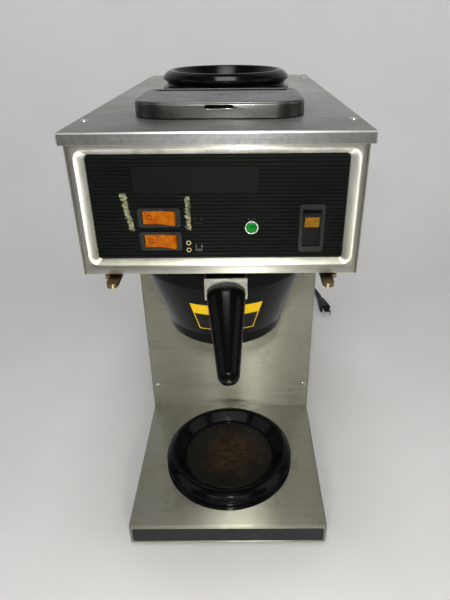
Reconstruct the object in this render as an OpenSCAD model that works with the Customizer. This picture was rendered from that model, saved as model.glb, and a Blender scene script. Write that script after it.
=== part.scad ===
// Pour-over drip coffee brewer: one stainless column with a warmer on the base and one on top.
// X runs to the right, Y to the back, Z up. The origin is on the floor, at the middle of the
// box that the brewer and its funnel handle fill. Lengths are in millimetres.

/* [Body] */
// Width of the base, column and head
body_w = 210; // [204:1:216]
// Depth of the base and head, front face to back wall
body_d = 410; // [408:1:416]
// Height of the base above its feet
base_h = 26.3; // [25:0.1:30]
// Height of the rubber feet
foot_h = 5; // [4:0.5:8]
// Clear height between the base deck and the underside of the head
bay_h = 297; // [290:1:305]
// Distance from the front of the base to the front of the column
column_y = 186.5; // [184:0.5:190]
// Height of the head, underside to the top of the lid
head_h = 107.1; // [106:0.1:112]
// Thickness of the stainless sheet
sheet_t = 1.2; // [1:0.1:1.3]

/* [Lid and pour cover] */
// How far the lid stands out past each side
lid_side = 4; // [3.5:0.5:6]
// Height of the lid's turned-down lip
lip_h = 8.8; // [7:0.1:12]
// Width of the pour cover
cover_w = 133; // [130:1:136]
// Depth of the pour cover
cover_d = 91; // [89:1:93]
// Height of the pour cover above the lid
cover_h = 12.4; // [12:0.1:14]

/* [Warmers] */
// Outer radius of the lower warmer ring
lower_warmer_r = 74.5; // [70:0.5:76]
// Outer radius of the upper warmer ring
upper_warmer_r = 70; // [66:0.5:74]
// Distance from the front of the body to the lower warmer's centre
warmer_y = 92.6; // [92:0.1:94]
// Distance from the front of the body to the upper warmer's centre
upper_warmer_y = 258; // [250:1:264]

/* [Funnel] */
// Radius of the funnel's flange
flange_r = 88.5; // [88:0.5:90]
// Length of the handle along its middle line
handle_len = 64; // [60:1:75]
// Droop of the handle below level, in degrees
handle_droop = 33.2; // [30:0.1:40]
// Turn of the funnel on its rails, in degrees
funnel_turn = 2.5; // [0:0.5:4]

/* [Cord] */
// Diameter of the mains cord
cord_dia = 7.5; // [7:0.1:8]

/* [Hidden] */

$fn = 64;
hull_fn = 32;       // facets on round children of a hull
gap = 0.2;          // clearance between fixed pieces that drop into each other
half_w = body_w / 2;
inner_w = half_w - sheet_t;
deck_z = foot_h + base_h;
head_z = deck_z + bay_h;
lid_z = head_z + head_h;
lid_under = lid_z - sheet_t;
lid_front = 2;      // lid overhang past the head's front
lid_back = 3.2;     // lid overhang past the back wall

// Base front strip
strip_w = 204.6;
strip_h = 20.2;
strip_z = foot_h + 1.3 + strip_h / 2;

// Head front recess and control panel
panel_w = 186;
panel_h = 79.5;
panel_z = head_z + 51.4;
bevel_w = 200;
bevel_h = 88;
recess_d = 4;
panel_y = recess_d + 0.2;   // front of the panel between its ribs
rib_count = 28;
rib_h = 0.8;

// Switches and lamp: centres across and up, and the pivot's depth
warmer_switch_x = -44;
upper_switch_z = head_z + 45;
lower_switch_z = head_z + 26.5;
power_switch_x = 68.5;
power_switch_z = head_z + 36.1;
lamp_x = 24.1;
lamp_z = head_z + 36.9;
pivot_y = 4.2;
rocker_tilt = 9;
switch_wall = 1.2;
switch_depth = 24;
bezel_front = 1.8;
rocker_clear = 0.3;
warmer_rocker = [24.5, 10.4];
warmer_bezel = [31.4, 14.8];
power_rocker = [28, 13];
power_bezel = [37.2, 18.6];
stub_r = 1.2;

// Warmer section heights above the surface that the ring stands on
plate_z = 6.5;
plate_t = 1.5;
ring_top = 19.5;
stud_r = 3;

// Pour opening, collar and cover hinge
pour_y = 87;
cover_y = 45;
hinge_y = cover_y + cover_d - 4.5;
hinge_z = lid_z + 4.7;
hinge_pin_r = 1.5;
lug_r = 3;

// Funnel and rails
rail_in = 78.3;
rail_w = 8.6;
rail_t = 3.5;
rail_reach = 11.5;  // how far the bars stand out in front of the head
rail_wall_x = 89.6; // inner face of the wall that carries each bar
rail_screw_x = 96;
rail_screw_ys = [30, 150];
rail_top = head_z - 3;
flange_t = 2.3;
flange_z = rail_top + 0.2;
grid_z = -86;       // seat of the filter grid, from the flange's underside
base_top = -79.5;   // joint between the funnel's cone and its dished floor
base_r = 55.6;
bracket_w = 34;
bracket_h = 18.9;
bracket_z = head_z - 13.75;
handle_root_r = 15.4;
handle_tip_r = 8.4;
handle_half_t = 8.2;
root_y = -3;
root_z = head_z - 18.2;
bolt_r = 2.5;

// Tank and pipes
tank_w = 150;
tank_front = 215;
tank_back = 375;
tank_floor = 240;
tank_top = 380;
tank_lip = 6;
gasket_t = 1;
tank_lid_t = 1.5;
tank_lid_top = tank_top + gasket_t + tank_lid_t;
port_y = 240;
fill_x = -25;
fill_z = 412;
fill_r = 6;
spray_z = 398;
spray_r = 5;
pipe_wall = 1;
heater_x = -40;
thermostat_x = 40;
sensor_y = 300;
basin_floor = 404;

// Cord: exit, coil and the route of its two free stretches
cord_r = cord_dia / 2;
gland_x = 70;
gland_z = 55;
gland_len = 33;
coil_x = 26;
coil_y = 478;
coil_mid_r = 41;
coil_turns_w = 3;
coil_turns_h = 2;

// The middle of the handle-to-lid length, where the origin lies
tip_reach = warmer_y - root_y + handle_len * cos(handle_droop);
front_y = warmer_y - tip_reach * cos(funnel_turn) - handle_tip_r;
mid_y = (front_y + body_d + lid_back) / 2;

// ---------- Helpers ----------

// Moves the whole design from the front face to the middle of its footprint.
module placed() {
    translate([0, -mid_y, 0]) children();
}

// A box from its low corner to its high corner.
module span(a, b) {
    translate(a) cube(b - a);
}

// A rectangle with round corners, centred.
module round_rect(w, h, r) {
    square([w - 2 * r, h], center = true);
    square([w, h - 2 * r], center = true);
    for (x = [-1, 1], y = [-1, 1])
        translate([x * (w / 2 - r), y * (h / 2 - r)]) circle(r);
}

// Stands an outline up in the XZ plane, running from y0 back by depth.
module standing(y0, depth) {
    translate([0, y0 + depth, 0]) rotate([90, 0, 0]) linear_extrude(depth) children();
}

// A rod along X, Y or Z.
module rod_x(r, x0, x1, y, z) {
    translate([x0, y, z]) rotate([0, 90, 0]) cylinder(r = r, h = x1 - x0);
}

module rod_y(r, y0, y1, x, z) {
    translate([x, y0, z]) rotate([-90, 0, 0]) cylinder(r = r, h = y1 - y0);
}

module rod_z(r, z0, z1, x, y) {
    translate([x, y, z0]) cylinder(r = r, h = z1 - z0);
}

// A domed screw whose head stands on the plane z = 0 and whose shank runs down.
module screw(head_r, head_h, shank_r, shank_len) {
    rotate_extrude() polygon([[0, -shank_len], [shank_r, -shank_len], [shank_r, 0],
        [head_r, 0], [head_r, head_h * 0.4], [head_r * 0.6, head_h * 0.9], [0, head_h]]);
}

// Turns the funnel's pieces about their own upright axis.
module funnel_set() {
    translate([0, warmer_y, 0]) rotate([0, 0, funnel_turn]) translate([0, -warmer_y, 0]) children();
}

// ---------- Base ----------

module base_shell() {
    color("silver") placed() difference() {
        span([-half_w, 0, foot_h], [half_w, body_d, deck_z]);
        span([-inner_w, sheet_t, foot_h - 1], [inner_w, body_d - sheet_t, deck_z - sheet_t]);
        translate([0, 0, strip_z]) standing(-1, sheet_t + 2) round_rect(strip_w, strip_h, 3);
        rod_z(20, deck_z - 3, deck_z + 1, 0, warmer_y);
        rod_z(12, deck_z - 3, deck_z + 1, 0, 300);
    }
}

module base_front_strip() {
    color("dimgray") placed() {
        translate([0, 0, strip_z]) {
            standing(0.3, sheet_t - 0.3) round_rect(strip_w - 2 * gap, strip_h - 2 * gap, 2.9);
            translate([-inner_w + gap, sheet_t, -strip_h / 2 + gap])
                cube([2 * (inner_w - gap), 1.8, strip_h + 2]);
        }
    }
}

foot_places = [for (x = [-85, 85], y = [30, body_d - 30]) [x, y]];

module base_pan() {
    color("darkgray") placed() difference() {
        span([-inner_w + gap, sheet_t + gap, foot_h],
            [inner_w - gap, body_d - sheet_t - gap, foot_h + 1]);
        for (p = foot_places) rod_z(4.1, foot_h - 1, foot_h + 2, p[0], p[1]);
    }
}

module feet() {
    color("black") placed() for (p = foot_places) translate([p[0], p[1], 0])
        rotate_extrude() polygon([[0, 0], [9.5, 0], [11, foot_h], [4, foot_h],
            [4, foot_h + 1], [5.5, foot_h + 1.1], [4, foot_h + 4], [0, foot_h + 4]]);
}

// ---------- Column ----------

column_screws = [for (x = [-98, 98], z = [deck_z + 37.7, head_z - 40]) [x, z]];

module trunk_shell() {
    color("silver") placed() {
        difference() {
            span([-half_w, column_y, deck_z], [half_w, body_d, head_z]);
            span([-inner_w, column_y - 1, deck_z + sheet_t],
                [inner_w, body_d - sheet_t, head_z - sheet_t]);
            span([-inner_w, column_y - 1, deck_z - 1], [inner_w, column_y + sheet_t + 0.2, head_z + 1]);
            span([-inner_w + 12, column_y + 14, deck_z - 1], [inner_w - 12, body_d - 14, head_z + 1]);
            span([-70, body_d - 5, 95], [70, body_d + 1, 295]);
            rod_y(8, body_d - 5, body_d + 1, gland_x, gland_z);
        }
        // Flanges that the front panel screws to
        for (s = [-1, 1]) difference() {
            span([s * (inner_w - 6) - 6, column_y + sheet_t + 0.2, deck_z + sheet_t],
                [s * (inner_w - 6) + 6, column_y + 2 * sheet_t + 0.2, head_z - sheet_t]);
            for (p = column_screws)
                rod_y(1.95, column_y, column_y + 5, p[0], p[1]);
        }
    }
}

module trunk_front_panel() {
    color("silver") placed() difference() {
        span([-inner_w + 0.3, column_y, deck_z + 0.2],
            [inner_w - 0.3, column_y + sheet_t, head_z - 0.2]);
        for (p = column_screws) rod_y(2, column_y - 1, column_y + 3, p[0], p[1]);
    }
}

module trunk_screws() {
    color("silver") placed() for (p = column_screws)
        translate([p[0], column_y, p[1]]) rotate([90, 0, 0]) screw(3.4, 1.6, 1.9, 8);
}

cover_screw_places = [for (x = [-75, 75], z = [91, 299]) [x, z]];

module rear_cover() {
    color("silver") placed() difference() {
        translate([0, 0, 195]) standing(body_d, sheet_t) round_rect(164, 222, 4);
        for (p = cover_screw_places) rod_y(2, body_d - 1, body_d + 3, p[0], p[1]);
        for (i = [-4:4]) translate([0, 0, 240 + i * 9])
            standing(body_d - 1, sheet_t + 2) round_rect(70, 3.2, 1.5);
    }
}

module rear_cover_screws() {
    color("silver") placed() for (p = cover_screw_places)
        translate([p[0], body_d + sheet_t, p[1]]) rotate([-90, 0, 0]) screw(3.4, 1.4, 1.9, 1.1);
}

// ---------- Head ----------

lid_screw_places = [for (x = [-101, 101], y = [43, 370]) [x, y]];

module head_shell() {
    color("silver") placed() difference() {
        span([-half_w, 0, head_z], [half_w, body_d, lid_under]);
        span([-inner_w, -1, head_z + sheet_t], [inner_w, body_d - sheet_t, lid_under - sheet_t]);
        span([-inner_w, -1, head_z - 1], [inner_w, sheet_t + 0.2, lid_z]);
        span([-inner_w + 12, -1, lid_under - 3], [inner_w - 12, body_d - 12, lid_z]);
        rod_z(34, head_z - 1, head_z + 3, 0, warmer_y);
        span([-92, 201, head_z - 1], [92, body_d - 14, head_z + 3]);
        for (p = lid_screw_places) rod_z(1.95, lid_under - 4, lid_z, p[0], p[1]);
        for (s = [-1, 1], y = rail_screw_ys) rod_z(1.95, head_z - 1, head_z + 3, s * rail_screw_x, y);
    }
}

// A tapering block between the recess mouth and the panel opening.
module recess_block(extra, y0, y1) {
    hull() {
        translate([0, 0, panel_z]) standing(y0, 0.01)
            round_rect(bevel_w + 2 * extra, bevel_h + 2 * extra, 6, $fn = hull_fn);
        translate([0, 0, panel_z]) standing(y1, 0.01)
            round_rect(panel_w + 2 * extra, panel_h + 2 * extra, 3, $fn = hull_fn);
    }
}

module head_front_frame() {
    frame_bottom = head_z + 0.2;
    frame_top = lid_under - gap;
    color("silver") placed() difference() {
        union() {
            span([-inner_w + 0.3, 0, frame_bottom], [inner_w - 0.3, sheet_t, frame_top]);
            recess_block(sheet_t, 0.2, recess_d + sheet_t);
            // Side returns that stand against the head's walls
            for (s = [-1, 1])
                span([s * (inner_w - 0.9) - 0.6, 0.5, head_z + 1.5],
                    [s * (inner_w - 0.9) + 0.6, 14, lid_under - 1.5]);
        }
        recess_block(0, -0.02, recess_d);
        translate([0, 0, panel_z]) standing(-1, 12) round_rect(panel_w, panel_h, 3);
    }
}

// The ribbed face in section: one flat-topped rib per pitch.
module rib_comb() {
    pitch = (panel_h - 0.6) / rib_count;
    start = -(panel_h - 0.6) / 2;
    polygon(concat([[1.4, start]], [for (i = [0:rib_count - 1], q = [[0, 0.3], [-rib_h, 0.8],
        [-rib_h, pitch - 0.8], [0, pitch - 0.3]]) [q[0], start + i * pitch + q[1]]],
        [[1.4, -start]]));
}

module panel_cutouts(y0, y1) {
    warmer = switch_hole(warmer_rocker);
    power = switch_hole(power_rocker);
    for (z = [upper_switch_z, lower_switch_z])
        span([warmer_switch_x - warmer[0], y0, z - warmer[1]],
            [warmer_switch_x + warmer[0], y1, z + warmer[1]]);
    span([power_switch_x - power[1], y0, power_switch_z - power[0]],
        [power_switch_x + power[1], y1, power_switch_z + power[0]]);
    rod_y(4.8, y0, y1, lamp_x, lamp_z);
}

// Half-sizes of the hole that a switch body with this rocker drops into.
function switch_hole(rocker) = [for (s = rocker) s / 2 + rocker_clear + switch_wall + gap];

module control_panel() {
    pad_w = 90;
    pad_h = 19.3;
    pad_at = [-16, 0, 21.6];
    edge = 0.6;         // how much smaller the panel is than its opening
    color([0.08, 0.09, 0.09]) placed() difference() {
        union() {
            translate([0, 0, panel_z]) {
                intersection() {
                    translate([-(panel_w - edge) / 2, panel_y, 0]) rotate([90, 0, 90])
                        linear_extrude(panel_w - edge) rib_comb();
                    standing(panel_y - 2, 4) round_rect(panel_w - edge, panel_h - edge, 2.8);
                }
                translate(pad_at) standing(panel_y - rib_h - 0.1, 2)
                    square([pad_w, pad_h], center = true);
                standing(recess_d + sheet_t + 0.05, 2) round_rect(panel_w + 6, panel_h + 5, 3);
            }
        }
        panel_cutouts(-2, 12);
    }
}

module top_lid() {
    color("silver") placed() difference() {
        span([-half_w - lid_side, -lid_front, lid_z - lip_h],
            [half_w + lid_side, body_d + lid_back, lid_z]);
        span([-half_w - lid_side + sheet_t, -lid_front + sheet_t, lid_z - lip_h - 1],
            [half_w + lid_side - sheet_t, body_d + lid_back - sheet_t, lid_under]);
        translate([0, pour_y, lid_z - 5]) linear_extrude(10) round_rect(101, 63, 18);
        rod_z(20, lid_z - 5, lid_z + 1, 0, upper_warmer_y);
        for (p = lid_screw_places) rod_z(2, lid_z - 5, lid_z + 1, p[0], p[1]);
    }
}

module lid_screws() {
    color("silver") placed() for (p = lid_screw_places)
        translate([p[0], p[1], lid_z]) screw(3.4, 1, 1.9, 6);
}

// ---------- Funnel rails ----------

// The right-hand rail: a round-ended bar, its side wall and the flange that screws to the head.
module rail() {
    difference() {
        union() {
            translate([rail_in + rail_w / 2, rail_w / 2 - rail_reach, rail_top - rail_t])
                linear_extrude(rail_t) {
                    circle(rail_w / 2);
                    translate([-rail_w / 2, 0]) square([rail_w, 185]);
                }
            span([rail_in + 2, 5, rail_top - rail_t], [rail_wall_x + sheet_t, 175, rail_top - 0.5]);
            span([rail_wall_x, 5, rail_top - rail_t], [rail_wall_x + sheet_t, 175, head_z]);
            span([rail_wall_x, 5, head_z - sheet_t], [rail_wall_x + 12, 175, head_z]);
        }
        for (y = rail_screw_ys) rod_z(2, head_z - 3, head_z + 1, rail_screw_x, y);
    }
}

module funnel_rails() {
    color("gray") placed() {
        rail();
        mirror([1, 0, 0]) rail();
    }
}

module rail_screws() {
    color("silver") placed() for (s = [-1, 1], y = rail_screw_ys)
        translate([s * rail_screw_x, y, head_z - sheet_t]) rotate([180, 0, 0])
            screw(3, 1, 1.9, 5);
}

// ---------- Warmers ----------

// The black ring: foot flange, undercut neck, flared rim, and a dish that holds the plate.
module warmer_ring(r) {
    rotate_extrude($fn = 96) polygon([[r - 28.5, 0], [r, 0], [r, 2.2], [r - 1, 3.4], [r - 4, 4.6],
        [r - 4.9, 6], [r - 4.3, 7.4], [r - 0.5, 10.8], [r - 0.1, 12], [r - 0.7, 13.4],
        [r - 4, 16.8], [r - 7.3, 19], [r - 9.3, ring_top], [r - 11.3, 18.9], [r - 20.8, 9.6],
        [r - 22.7, 8.8], [r - 22.7, plate_z], [r - 28.5, plate_z]]);
}

// The enamelled plate, with its low curled edge.
module warmer_plate(r) {
    rotate_extrude($fn = 96) polygon([[0, plate_z], [r - 23, plate_z], [r - 23, plate_z + 2.2],
        [r - 24.2, plate_z + 2.2], [r - 25.6, plate_z + plate_t], [0, plate_z + plate_t]]);
}

// The heating disc under the plate, with the stud that clamps the warmer to its sheet.
module warmer_element(r) {
    translate([0, 0, 2.5]) cylinder(r = r - 30.5, h = plate_z - 2.5);
    translate([0, 0, -14]) cylinder(r = stud_r, h = 17);
}

module warmer_nut() {
    difference() {
        union() {
            translate([0, 0, -1.5]) cylinder(r = 24, h = 1.5);
            translate([0, 0, -6.5]) cylinder(r = 5.8, h = 5, $fn = 6);
        }
        translate([0, 0, -8]) cylinder(r = stud_r + 0.05, h = 10);
    }
}

module at_lower_warmer() {
    placed() translate([0, warmer_y, deck_z]) children();
}

module at_upper_warmer() {
    placed() translate([0, upper_warmer_y, lid_z]) children();
}

module lower_warmer_ring() {
    color([0.04, 0.04, 0.04]) at_lower_warmer() warmer_ring(lower_warmer_r);
}

module lower_warmer_plate() {
    color([0.1, 0.08, 0.07]) at_lower_warmer() warmer_plate(lower_warmer_r);
}

module lower_warmer_element() {
    color("darkgray") at_lower_warmer() warmer_element(lower_warmer_r);
}

module upper_warmer_ring() {
    color([0.04, 0.04, 0.04]) at_upper_warmer() warmer_ring(upper_warmer_r);
}

module upper_warmer_plate() {
    color([0.1, 0.08, 0.07]) at_upper_warmer() warmer_plate(upper_warmer_r);
}

module upper_warmer_element() {
    color("darkgray") at_upper_warmer() warmer_element(upper_warmer_r);
}

module warmer_nuts() {
    color("silver") {
        at_lower_warmer() translate([0, 0, -sheet_t]) warmer_nut();
        at_upper_warmer() translate([0, 0, -sheet_t]) warmer_nut();
    }
}

// ---------- Water side ----------

module water_basin() {
    color("silver") placed() difference() {
        span([-80, 42, basin_floor], [80, 150, lid_under]);
        span([-78.5, 43.5, basin_floor + 1.5], [78.5, 148.5, lid_z]);
        rod_y(fill_r + 0.05, 146, 152, fill_x, fill_z);
    }
}

module tank_shelf() {
    color("darkgray") placed() {
        span([-inner_w + gap, 205, tank_floor - 1.5], [inner_w - gap, 385, tank_floor]);
        for (s = [-1, 1])
            span([s * (inner_w - 0.8) - 0.6, 205, tank_floor - 14],
                [s * (inner_w - 0.8) + 0.6, 385, tank_floor - 1.5]);
    }
}

// A rectangular slab around the tank's middle, grown outwards by edge.
module tank_slab(edge, z0, z1) {
    span([-tank_w / 2 - edge, tank_front - edge, z0], [tank_w / 2 + edge, tank_back + edge, z1]);
}

module tank() {
    color("silver") placed() difference() {
        union() {
            tank_slab(0, tank_floor, tank_top);
            tank_slab(tank_lip, tank_top - 1, tank_top);
        }
        tank_slab(-1, tank_floor + 1, tank_top + 1);
    }
}

module tank_gasket() {
    color("brown") placed() difference() {
        tank_slab(tank_lip, tank_top, tank_top + gasket_t);
        tank_slab(-1, tank_top - 1, tank_top + 3);
    }
}

module tank_lid() {
    color("silver") placed() difference() {
        tank_slab(tank_lip, tank_top + gasket_t, tank_lid_top);
        rod_z(fill_r + 0.1, tank_top, tank_lid_top + 1, fill_x, port_y);
        rod_z(spray_r + 0.1, tank_top, tank_lid_top + 1, 0, port_y);
        rod_z(12.5, tank_top, tank_lid_top + 1, heater_x, sensor_y);
        rod_z(3.1, tank_top, tank_lid_top + 1, thermostat_x, sensor_y);
    }
}

// Two straight legs joined by a half-turn, under a hexagonal head.
module tank_heater() {
    leg = 7;
    bend_z = tank_floor + 25;
    color("silver") placed() translate([heater_x, sensor_y, 0]) {
        translate([0, 0, tank_lid_top]) cylinder(r = 16, h = 9, $fn = 6);
        for (s = [-1, 1]) translate([s * leg, 0, bend_z]) cylinder(r = 3.5, h = tank_lid_top - bend_z);
        translate([0, 0, bend_z]) rotate([90, 0, 0]) rotate([0, 0, 180])
            rotate_extrude(angle = 180) translate([leg, 0]) circle(3.5);
        for (s = [-1, 1]) translate([s * leg - 3.1, -0.4, tank_lid_top + 9]) cube([6.2, 0.8, 8]);
    }
}

module thermostat() {
    color("gray") placed() {
        span([thermostat_x - 15, sensor_y - 12, tank_lid_top],
            [thermostat_x + 15, sensor_y + 12, tank_lid_top + 14]);
        rod_z(3, tank_floor + 50, tank_lid_top + 1, thermostat_x, sensor_y);
        for (s = [-1, 1])
            span([thermostat_x + s * 9 - 3, sensor_y - 0.4, tank_lid_top + 14],
                [thermostat_x + s * 9 + 3, sensor_y + 0.4, tank_lid_top + 22]);
    }
}

module limit_thermostat() {
    color("gray") placed() translate([thermostat_x, sensor_y + 45, tank_lid_top]) {
        cylinder(r = 11, h = 8);
        for (s = [-1, 1]) translate([s * 5 - 0.4, -3, 8]) cube([0.8, 6, 8]);
    }
}

// A pipe that leaves the tank upwards and turns to run forwards. The end turn goes down.
module fill_path(r, extra) {
    bend = 12;
    rod_z(r, tank_floor + 15 - extra, fill_z - bend, fill_x, port_y);
    translate([fill_x, port_y - bend, fill_z - bend]) rotate([90, 0, 90])
        rotate_extrude(angle = 90) translate([bend, 0]) circle(r);
    rod_y(r, 146 - extra, port_y - bend, fill_x, fill_z);
}

module fill_tube() {
    color("silver") placed() difference() {
        fill_path(fill_r, 0);
        fill_path(fill_r - pipe_wall, 1);
    }
}

module spray_path(r, extra) {
    bend = 10;
    rod_z(r, tank_top - 8 - extra, spray_z - bend, 0, port_y);
    translate([0, port_y - bend, spray_z - bend]) rotate([90, 0, 90])
        rotate_extrude(angle = 90) translate([bend, 0]) circle(r);
    rod_y(r, warmer_y + bend, port_y - bend, 0, spray_z);
    translate([0, warmer_y + bend, spray_z - bend]) rotate([90, 0, 90]) rotate([0, 0, 90])
        rotate_extrude(angle = 90) translate([bend, 0]) circle(r);
    rod_z(r, head_z + 10 - extra, spray_z - bend, 0, warmer_y);
}

module spray_tube() {
    color("silver") placed() difference() {
        spray_path(spray_r, 0);
        spray_path(spray_r - pipe_wall, 1);
    }
}

// A shallow perforated cup with a socket for the spray tube.
module spray_head() {
    color("silver") placed() translate([0, warmer_y, head_z + 1]) difference() {
        union() {
            cylinder(r = 28, h = 8);
            cylinder(r = spray_r + 1.5, h = 20);
        }
        translate([0, 0, 1.5]) cylinder(r = 26.5, h = 5);
        translate([0, 0, 5]) cylinder(r = spray_r - 1, h = 5);
        translate([0, 0, 9]) cylinder(r = spray_r + 0.05, h = 12);
        translate([0, 0, -1]) cylinder(r = 1.2, h = 3);
        for (ring = [1, 2, 3], i = [0:6 * ring - 1]) rotate([0, 0, i * 60 / ring])
            translate([ring * 7.5, 0, -1]) cylinder(r = 1.2, h = 3, $fn = 16);
    }
}

module terminal_block() {
    color("ivory") placed() difference() {
        span([inner_w - 16, 320, 70], [inner_w, 380, 92]);
        for (i = [0:3]) rod_x(2.5, inner_w - 17, inner_w - 8, 329 + i * 14, 87);
        for (i = [0:3]) rod_x(2.5, inner_w - 17, inner_w - 8, 329 + i * 14, 75);
    }
}

// ---------- Switches and lamp ----------

// Places a switch: X runs along the rocker, Z across it, and -Y out of the panel.
module at_switch(x, z, upright) {
    placed() translate([x, 0, z]) rotate([0, upright ? -90 : 0, 0]) children();
}

module switch_body(rocker, bezel) {
    hx = rocker[0] / 2 + rocker_clear;
    hz = rocker[1] / 2 + rocker_clear;
    difference() {
        union() {
            standing(bezel_front, panel_y - rib_h - bezel_front) round_rect(bezel[0], bezel[1], 2);
            span([-hx - switch_wall, bezel_front + 0.5, -hz - switch_wall],
                [hx + switch_wall, switch_depth, hz + switch_wall]);
        }
        span([-hx, -1, -hz], [hx, pivot_y + 9, hz]);
        rod_z(stub_r + 0.05, -hz - switch_wall, hz + switch_wall, 0, pivot_y);
    }
    for (x = [-7, 0, 7]) span([x - 0.4, switch_depth, -3.1], [x + 0.4, switch_depth + 8, 3.1]);
}

// The rocker in section, about its pivot: two facets that meet in a shallow valley.
module rocker_section(r) {
    intersection() {
        circle(r, $fn = 96);
        polygon([[-r, -3.4], [0, -1.2], [r, -3.4], [r, 1.5], [r * 0.65, 5], [-r * 0.65, 5], [-r, 1.5]]);
    }
}

module switch_rocker(rocker) {
    translate([0, pivot_y, 0]) rotate([0, 0, -rocker_tilt]) {
        linear_extrude(rocker[1], center = true) rocker_section(rocker[0] / 2);
        cylinder(r = stub_r, h = rocker[1] + 2, center = true);
    }
}

// The lens set into the proud facet of the power rocker, grown by extra for its pocket.
module lens_block(extra) {
    facet = atan(2.2 / (power_rocker[0] / 2));
    translate([0, pivot_y, 0]) rotate([0, 0, -rocker_tilt]) translate([0, -1.2, 0])
        rotate([0, 0, -facet]) translate([1 - extra, -0.2 - extra, -5.35 - extra])
            cube([8.9 + 2 * extra, 1.2 + 2 * extra, 10.7 + 2 * extra]);
}

module upper_switch_body() {
    color([0.06, 0.06, 0.06]) at_switch(warmer_switch_x, upper_switch_z, false)
        switch_body(warmer_rocker, warmer_bezel);
}

module upper_switch_rocker() {
    color("orangered") at_switch(warmer_switch_x, upper_switch_z, false) switch_rocker(warmer_rocker);
}

module lower_switch_body() {
    color([0.06, 0.06, 0.06]) at_switch(warmer_switch_x, lower_switch_z, false)
        switch_body(warmer_rocker, warmer_bezel);
}

module lower_switch_rocker() {
    color("orangered") at_switch(warmer_switch_x, lower_switch_z, false) switch_rocker(warmer_rocker);
}

module power_switch_body() {
    color([0.1, 0.1, 0.1]) at_switch(power_switch_x, power_switch_z, true)
        switch_body(power_rocker, power_bezel);
}

module power_switch_rocker() {
    color([0.05, 0.05, 0.05]) at_switch(power_switch_x, power_switch_z, true) difference() {
        switch_rocker(power_rocker);
        lens_block(0.05);
    }
}

module power_lens() {
    color("orange") at_switch(power_switch_x, power_switch_z, true) lens_block(0);
}

module ready_lamp_bezel() {
    color("silver") placed() translate([lamp_x, 0, lamp_z]) rotate([-90, 0, 0]) difference() {
        union() {
            translate([0, 0, 2.2]) cylinder(r = 5.2, h = panel_y - rib_h - 2.2);
            translate([0, 0, 2.8]) cylinder(r = 4.6, h = 12);
        }
        cylinder(r = 4.05, h = 20);
    }
}

module ready_lamp_lens() {
    color("limegreen") placed() translate([lamp_x, 0, lamp_z]) rotate([-90, 0, 0])
        rotate_extrude() polygon([[0, 1.2], [2.2, 1.5], [3.6, 2.2], [4, 3], [4, 12], [0, 12]]);
}

// ---------- Pour cover ----------

// The collar round the pour opening, with two lugs for the hinge pins.
module pour_collar() {
    color("silver") placed() {
        difference() {
            union() {
                translate([0, pour_y, lid_z]) linear_extrude(0.8) round_rect(112, 74, 22);
                translate([0, pour_y, lid_z]) linear_extrude(6.5) round_rect(104, 66, 19);
                for (s = [-1, 1]) {
                    span([s * 47.5 - 1.5, pour_y + 30, lid_z + 0.4],
                        [s * 47.5 + 1.5, hinge_y, hinge_z + lug_r]);
                    rod_x(lug_r, s * 47.5 - 1.5, s * 47.5 + 1.5, hinge_y, hinge_z);
                }
            }
            translate([0, pour_y, lid_z - 1]) linear_extrude(20) round_rect(101.6, 63.6, 18);
            rod_x(hinge_pin_r + 0.02, -60, 60, hinge_y, hinge_z);
        }
    }
}

// Plan outline of the cover, shrunk all round by inset. Its front corners are the rounder ones.
module cover_plan(inset) {
    w = cover_w - 2 * inset;
    d = cover_d - 2 * inset;
    translate([0, cover_y + cover_d / 2]) {
        front_r = 24 - inset;
        rear_r = 10 - inset;
        polygon([[-w / 2, front_r - d / 2], [front_r - w / 2, -d / 2], [w / 2 - front_r, -d / 2],
            [w / 2, front_r - d / 2], [w / 2, d / 2 - rear_r], [w / 2 - rear_r, d / 2],
            [rear_r - w / 2, d / 2], [-w / 2, d / 2 - rear_r]]);
        for (s = [-1, 1]) {
            translate([s * (w / 2 - front_r), front_r - d / 2]) circle(front_r);
            translate([s * (w / 2 - rear_r), d / 2 - rear_r]) circle(rear_r);
        }
    }
}

module pour_cover() {
    top = lid_z + cover_h;
    color("gainsboro") placed() {
        difference() {
            union() {
                translate([0, 0, lid_z + 1]) linear_extrude(cover_h - 2) cover_plan(0);
                translate([0, 0, top - 1.2]) linear_extrude(0.7) cover_plan(0.3);
                translate([0, 0, top - 0.7]) linear_extrude(0.7) cover_plan(1);
            }
            translate([0, 0, lid_z]) linear_extrude(cover_h - sheet_t) cover_plan(sheet_t);
            // The rear edge is cut away below the hinge so that it clears the lid
            span([-cover_w, hinge_y, lid_z], [cover_w, hinge_y + 20, hinge_z]);
            // Finger slot in the front wall
            translate([0, 0, lid_z + 8.5]) standing(cover_y - 2, 6) round_rect(22, 4, 1.9);
            // Rivet dimple on top
            translate([0, cover_y + 43, top - 0.5]) cylinder(r = 2.2, h = 2);
        }
        difference() {
            for (s = [-1, 1]) {
                rod_x(3.2, s * 51.5 - 1.5, s * 51.5 + 1.5, hinge_y, hinge_z);
                span([s * 51.5 - 1.5, hinge_y - 5, hinge_z],
                    [s * 51.5 + 1.5, hinge_y + 3.2, top - sheet_t]);
            }
            rod_x(hinge_pin_r + 0.05, -60, 60, hinge_y, hinge_z);
        }
    }
}

module cover_hinge_pins() {
    color("silver") placed() for (s = [-1, 1])
        rod_x(hinge_pin_r, s * 49.5 - 4, s * 49.5 + 4, hinge_y, hinge_z);
}

// ---------- Funnel ----------

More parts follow.
